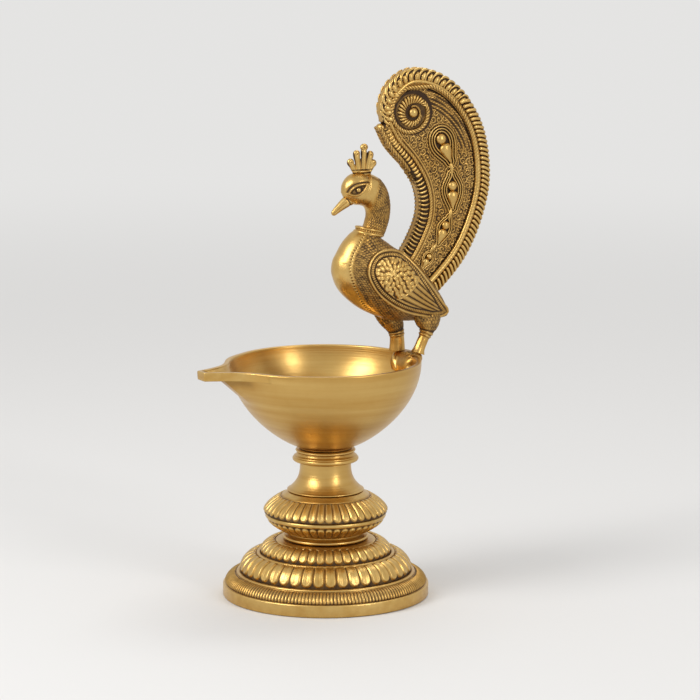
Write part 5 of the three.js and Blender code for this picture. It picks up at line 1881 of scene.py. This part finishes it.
# Scroll and eyespots: the raised work on the tail
# Chased out of the same brass casting: a round boss in a ring of radial ribs, and four eyespots on
# short stems, each a bead over a drop inside three pointed rings, or two on the small ones.
raised_heap = Heap()


def tube(path, radius, sides, y, flat=1.0):
    """A closed loop of round wire lying on a face of the tail."""
    inward = beside_loop(path)
    angle = full_turn(sides)
    reach = radius * np.cos(angle)
    x = path[:, :1] + inward[:, :1] * reach
    z = path[:, 1:] + inward[:, 1:] * reach
    rings = np.stack([x, y + flat * radius * np.sin(angle) + 0 * x, z], -1)
    faces = grid_faces(len(path), sides, wrap_rows=True, wrap_columns=True)
    tone = 0.15 + 0.85 * np.abs(np.sin(angle)) + 0 * x
    return (rings.reshape(-1, 3), faces), tone.reshape(-1)


def round_rings(profile, sides, y, hand):
    """A turned shape about a line across the tail through the scroll's middle."""
    angle = full_turn(sides)
    rings = []
    for radius, out in profile:
        rings.append(np.column_stack([
            scroll_middle[0] + radius * np.cos(angle),
            hand * (y + out) + 0 * angle,
            scroll_middle[1] + radius * np.sin(angle),
        ]))
    return rings


drop_profile = [
    (-9.4, 0.1), (-8.0, 0.8), (-6.1, 1.8), (-3.9, 2.7), (-2.0, 3.0), (-0.6, 2.5), (0.2, 1.3),
    (0.5, 0.15),
]
for hand in (-1, 1):
    for spot in eyespots:
        *_, size, outline = spot
        for growth in loop_growth[: 3 if size > large_spot else 2]:
            loop = spot_place(spot, outline + growth * beside_loop(outline))
            raised_heap.add(*tube(loop, 0.38 * size**0.4, 8, hand * 2.3, 1.8))
        bead_x, bead_z = spot_place(spot, np.array([0, 2.7]))
        bead_half = 2.45 * size**0.9
        bead_size = (bead_half, 1.0 + 0.8 * size, bead_half)
        raised_heap.add(egg((bead_x, hand * 2.4, bead_z), bead_size, 24, 16), 1)
        drop_rings = []
        angle = full_turn(20)
        for place, half in curve_through(drop_profile, 18):
            ring = spot_place(spot, np.column_stack([half * np.cos(angle), place + 0 * angle]))
            drop_rings.append(np.column_stack([
                ring[:, 0], hand * (2.2 + 0.85 * half * size * np.sin(angle)), ring[:, 1]
            ]))
        raised_heap.add(close_ends(drop_rings), 1)
    disc = [(0.2, -2), (7.6, -2), (7.7, -0.5), (7.4, -0.1), (7.0, 0), (6.6, 0), (0.2, 0.05)]
    disc_tone = [0.3, 0.3, 0.3, 0.3, 0.3, 0.18, 0.1]
    disc_rings = [ring + np.array([-0.6, 0, 0.5]) for ring in round_rings(disc, 72, 2.2, hand)]
    raised_heap.add(close_ends(disc_rings), np.append(np.repeat(disc_tone, 72), [0.3, 0.3]))
    raised_heap.add(egg((scroll_middle[0], hand * 2.5, scroll_middle[1]), (2.1, 1.9, 2.1), 32, 20), 1)
stem_ends = (
    ((59.6, 182.3), (60.0, 178.6), (60.1, 176.4)),
    ((59.8, 162.9), (59.3, 160.4), (58.6, 157.6)),
    ((52.8, 148.0), (50.4, 145.6), (49.4, 144.2)),
)
for hand in (-1, 1):
    for ends in stem_ends:
        stem_path = curve_through(list(ends), 10)
        stem_points, _ = rope(stem_path, [0.35, 0.8, 0.95, 0.6, 0.2], 4, [0], 2.5 * hand)
        raised_heap.add(stem_points, 1)
    raised_heap.add(egg((26.4, 0, perch_top + 97.4), (1.7, 2.5, 1.7), 20, 14), 0.9)
raised = raised_heap.mesh("tail_raised_work")
raised.data.materials.append(carved_brass)
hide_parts("tail")
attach(raised, "lamp_head")

spoke_turn = np.linspace(385, 700, 600)
spoke_middle = np.interp(spoke_turn, [360, 405, 450, 540, 630, 720], [7.1, 6.1, 5.6, 5.5, 4.7, 3.7])
spoke_half = np.interp(spoke_turn, [380, 440, 540, 630, 700], [1.2, 2.1, 2.1, 1.6, 0.7])
spoke_steps = np.append(0, np.cumsum(np.radians(np.diff(spoke_turn)) * spoke_middle[1:]))
spoke_pitch = 1.3
spoke_at = np.arange(0, spoke_steps[-1], spoke_pitch)
spoke_turn, spoke_middle, spoke_half = (
    np.interp(spoke_at, spoke_steps, values) for values in (spoke_turn, spoke_middle, spoke_half)
)
spoke_rings = []
for share in np.linspace(-1, 1, 11):
    fat = math.sqrt(max(1 - abs(share) ** 4, 0.03))
    spoke_rings.append(np.column_stack([
        (0.6 + 0.16 * share) * fat * rib_wide + 0.6 * share,
        (0.75 + 0.3 * math.cos(1.5 * share)) * fat * rib_tall,
        share + 0 * rib_wide,
    ]))
spoke_tone = np.append(np.tile(0.1 + 0.9 * np.abs(rib_tall), 11), [0.1, 0.1])
spoke_places = []
for hand in (-1, 1):
    spoke_places.append(np.column_stack([
        scroll_middle[0] + spoke_middle * np.cos(np.radians(spoke_turn)),
        2.2 * hand + 0 * spoke_turn,
        scroll_middle[1] + spoke_middle * np.sin(np.radians(spoke_turn)),
    ]))
spoke_turns = np.column_stack([0 * spoke_turn, math.pi / 2 - np.radians(spoke_turn), 0 * spoke_turn])
spoke_sizes = np.column_stack([1 + 0 * spoke_turn, 0.55 + 0.23 * spoke_half, spoke_half])
spokes = set_shapes(
    "scroll_spokes",
    close_ends(spoke_rings),
    spoke_tone,
    np.vstack(spoke_places),
    np.tile(spoke_turns, (2, 1)),
    np.tile(spoke_sizes, (2, 1)),
)
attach(spokes, "lamp_head")

new_low, new_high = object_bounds()
sizes = {"cad": [list(cad_low), list(cad_high)], "visual": [list(new_low), list(new_high)]}
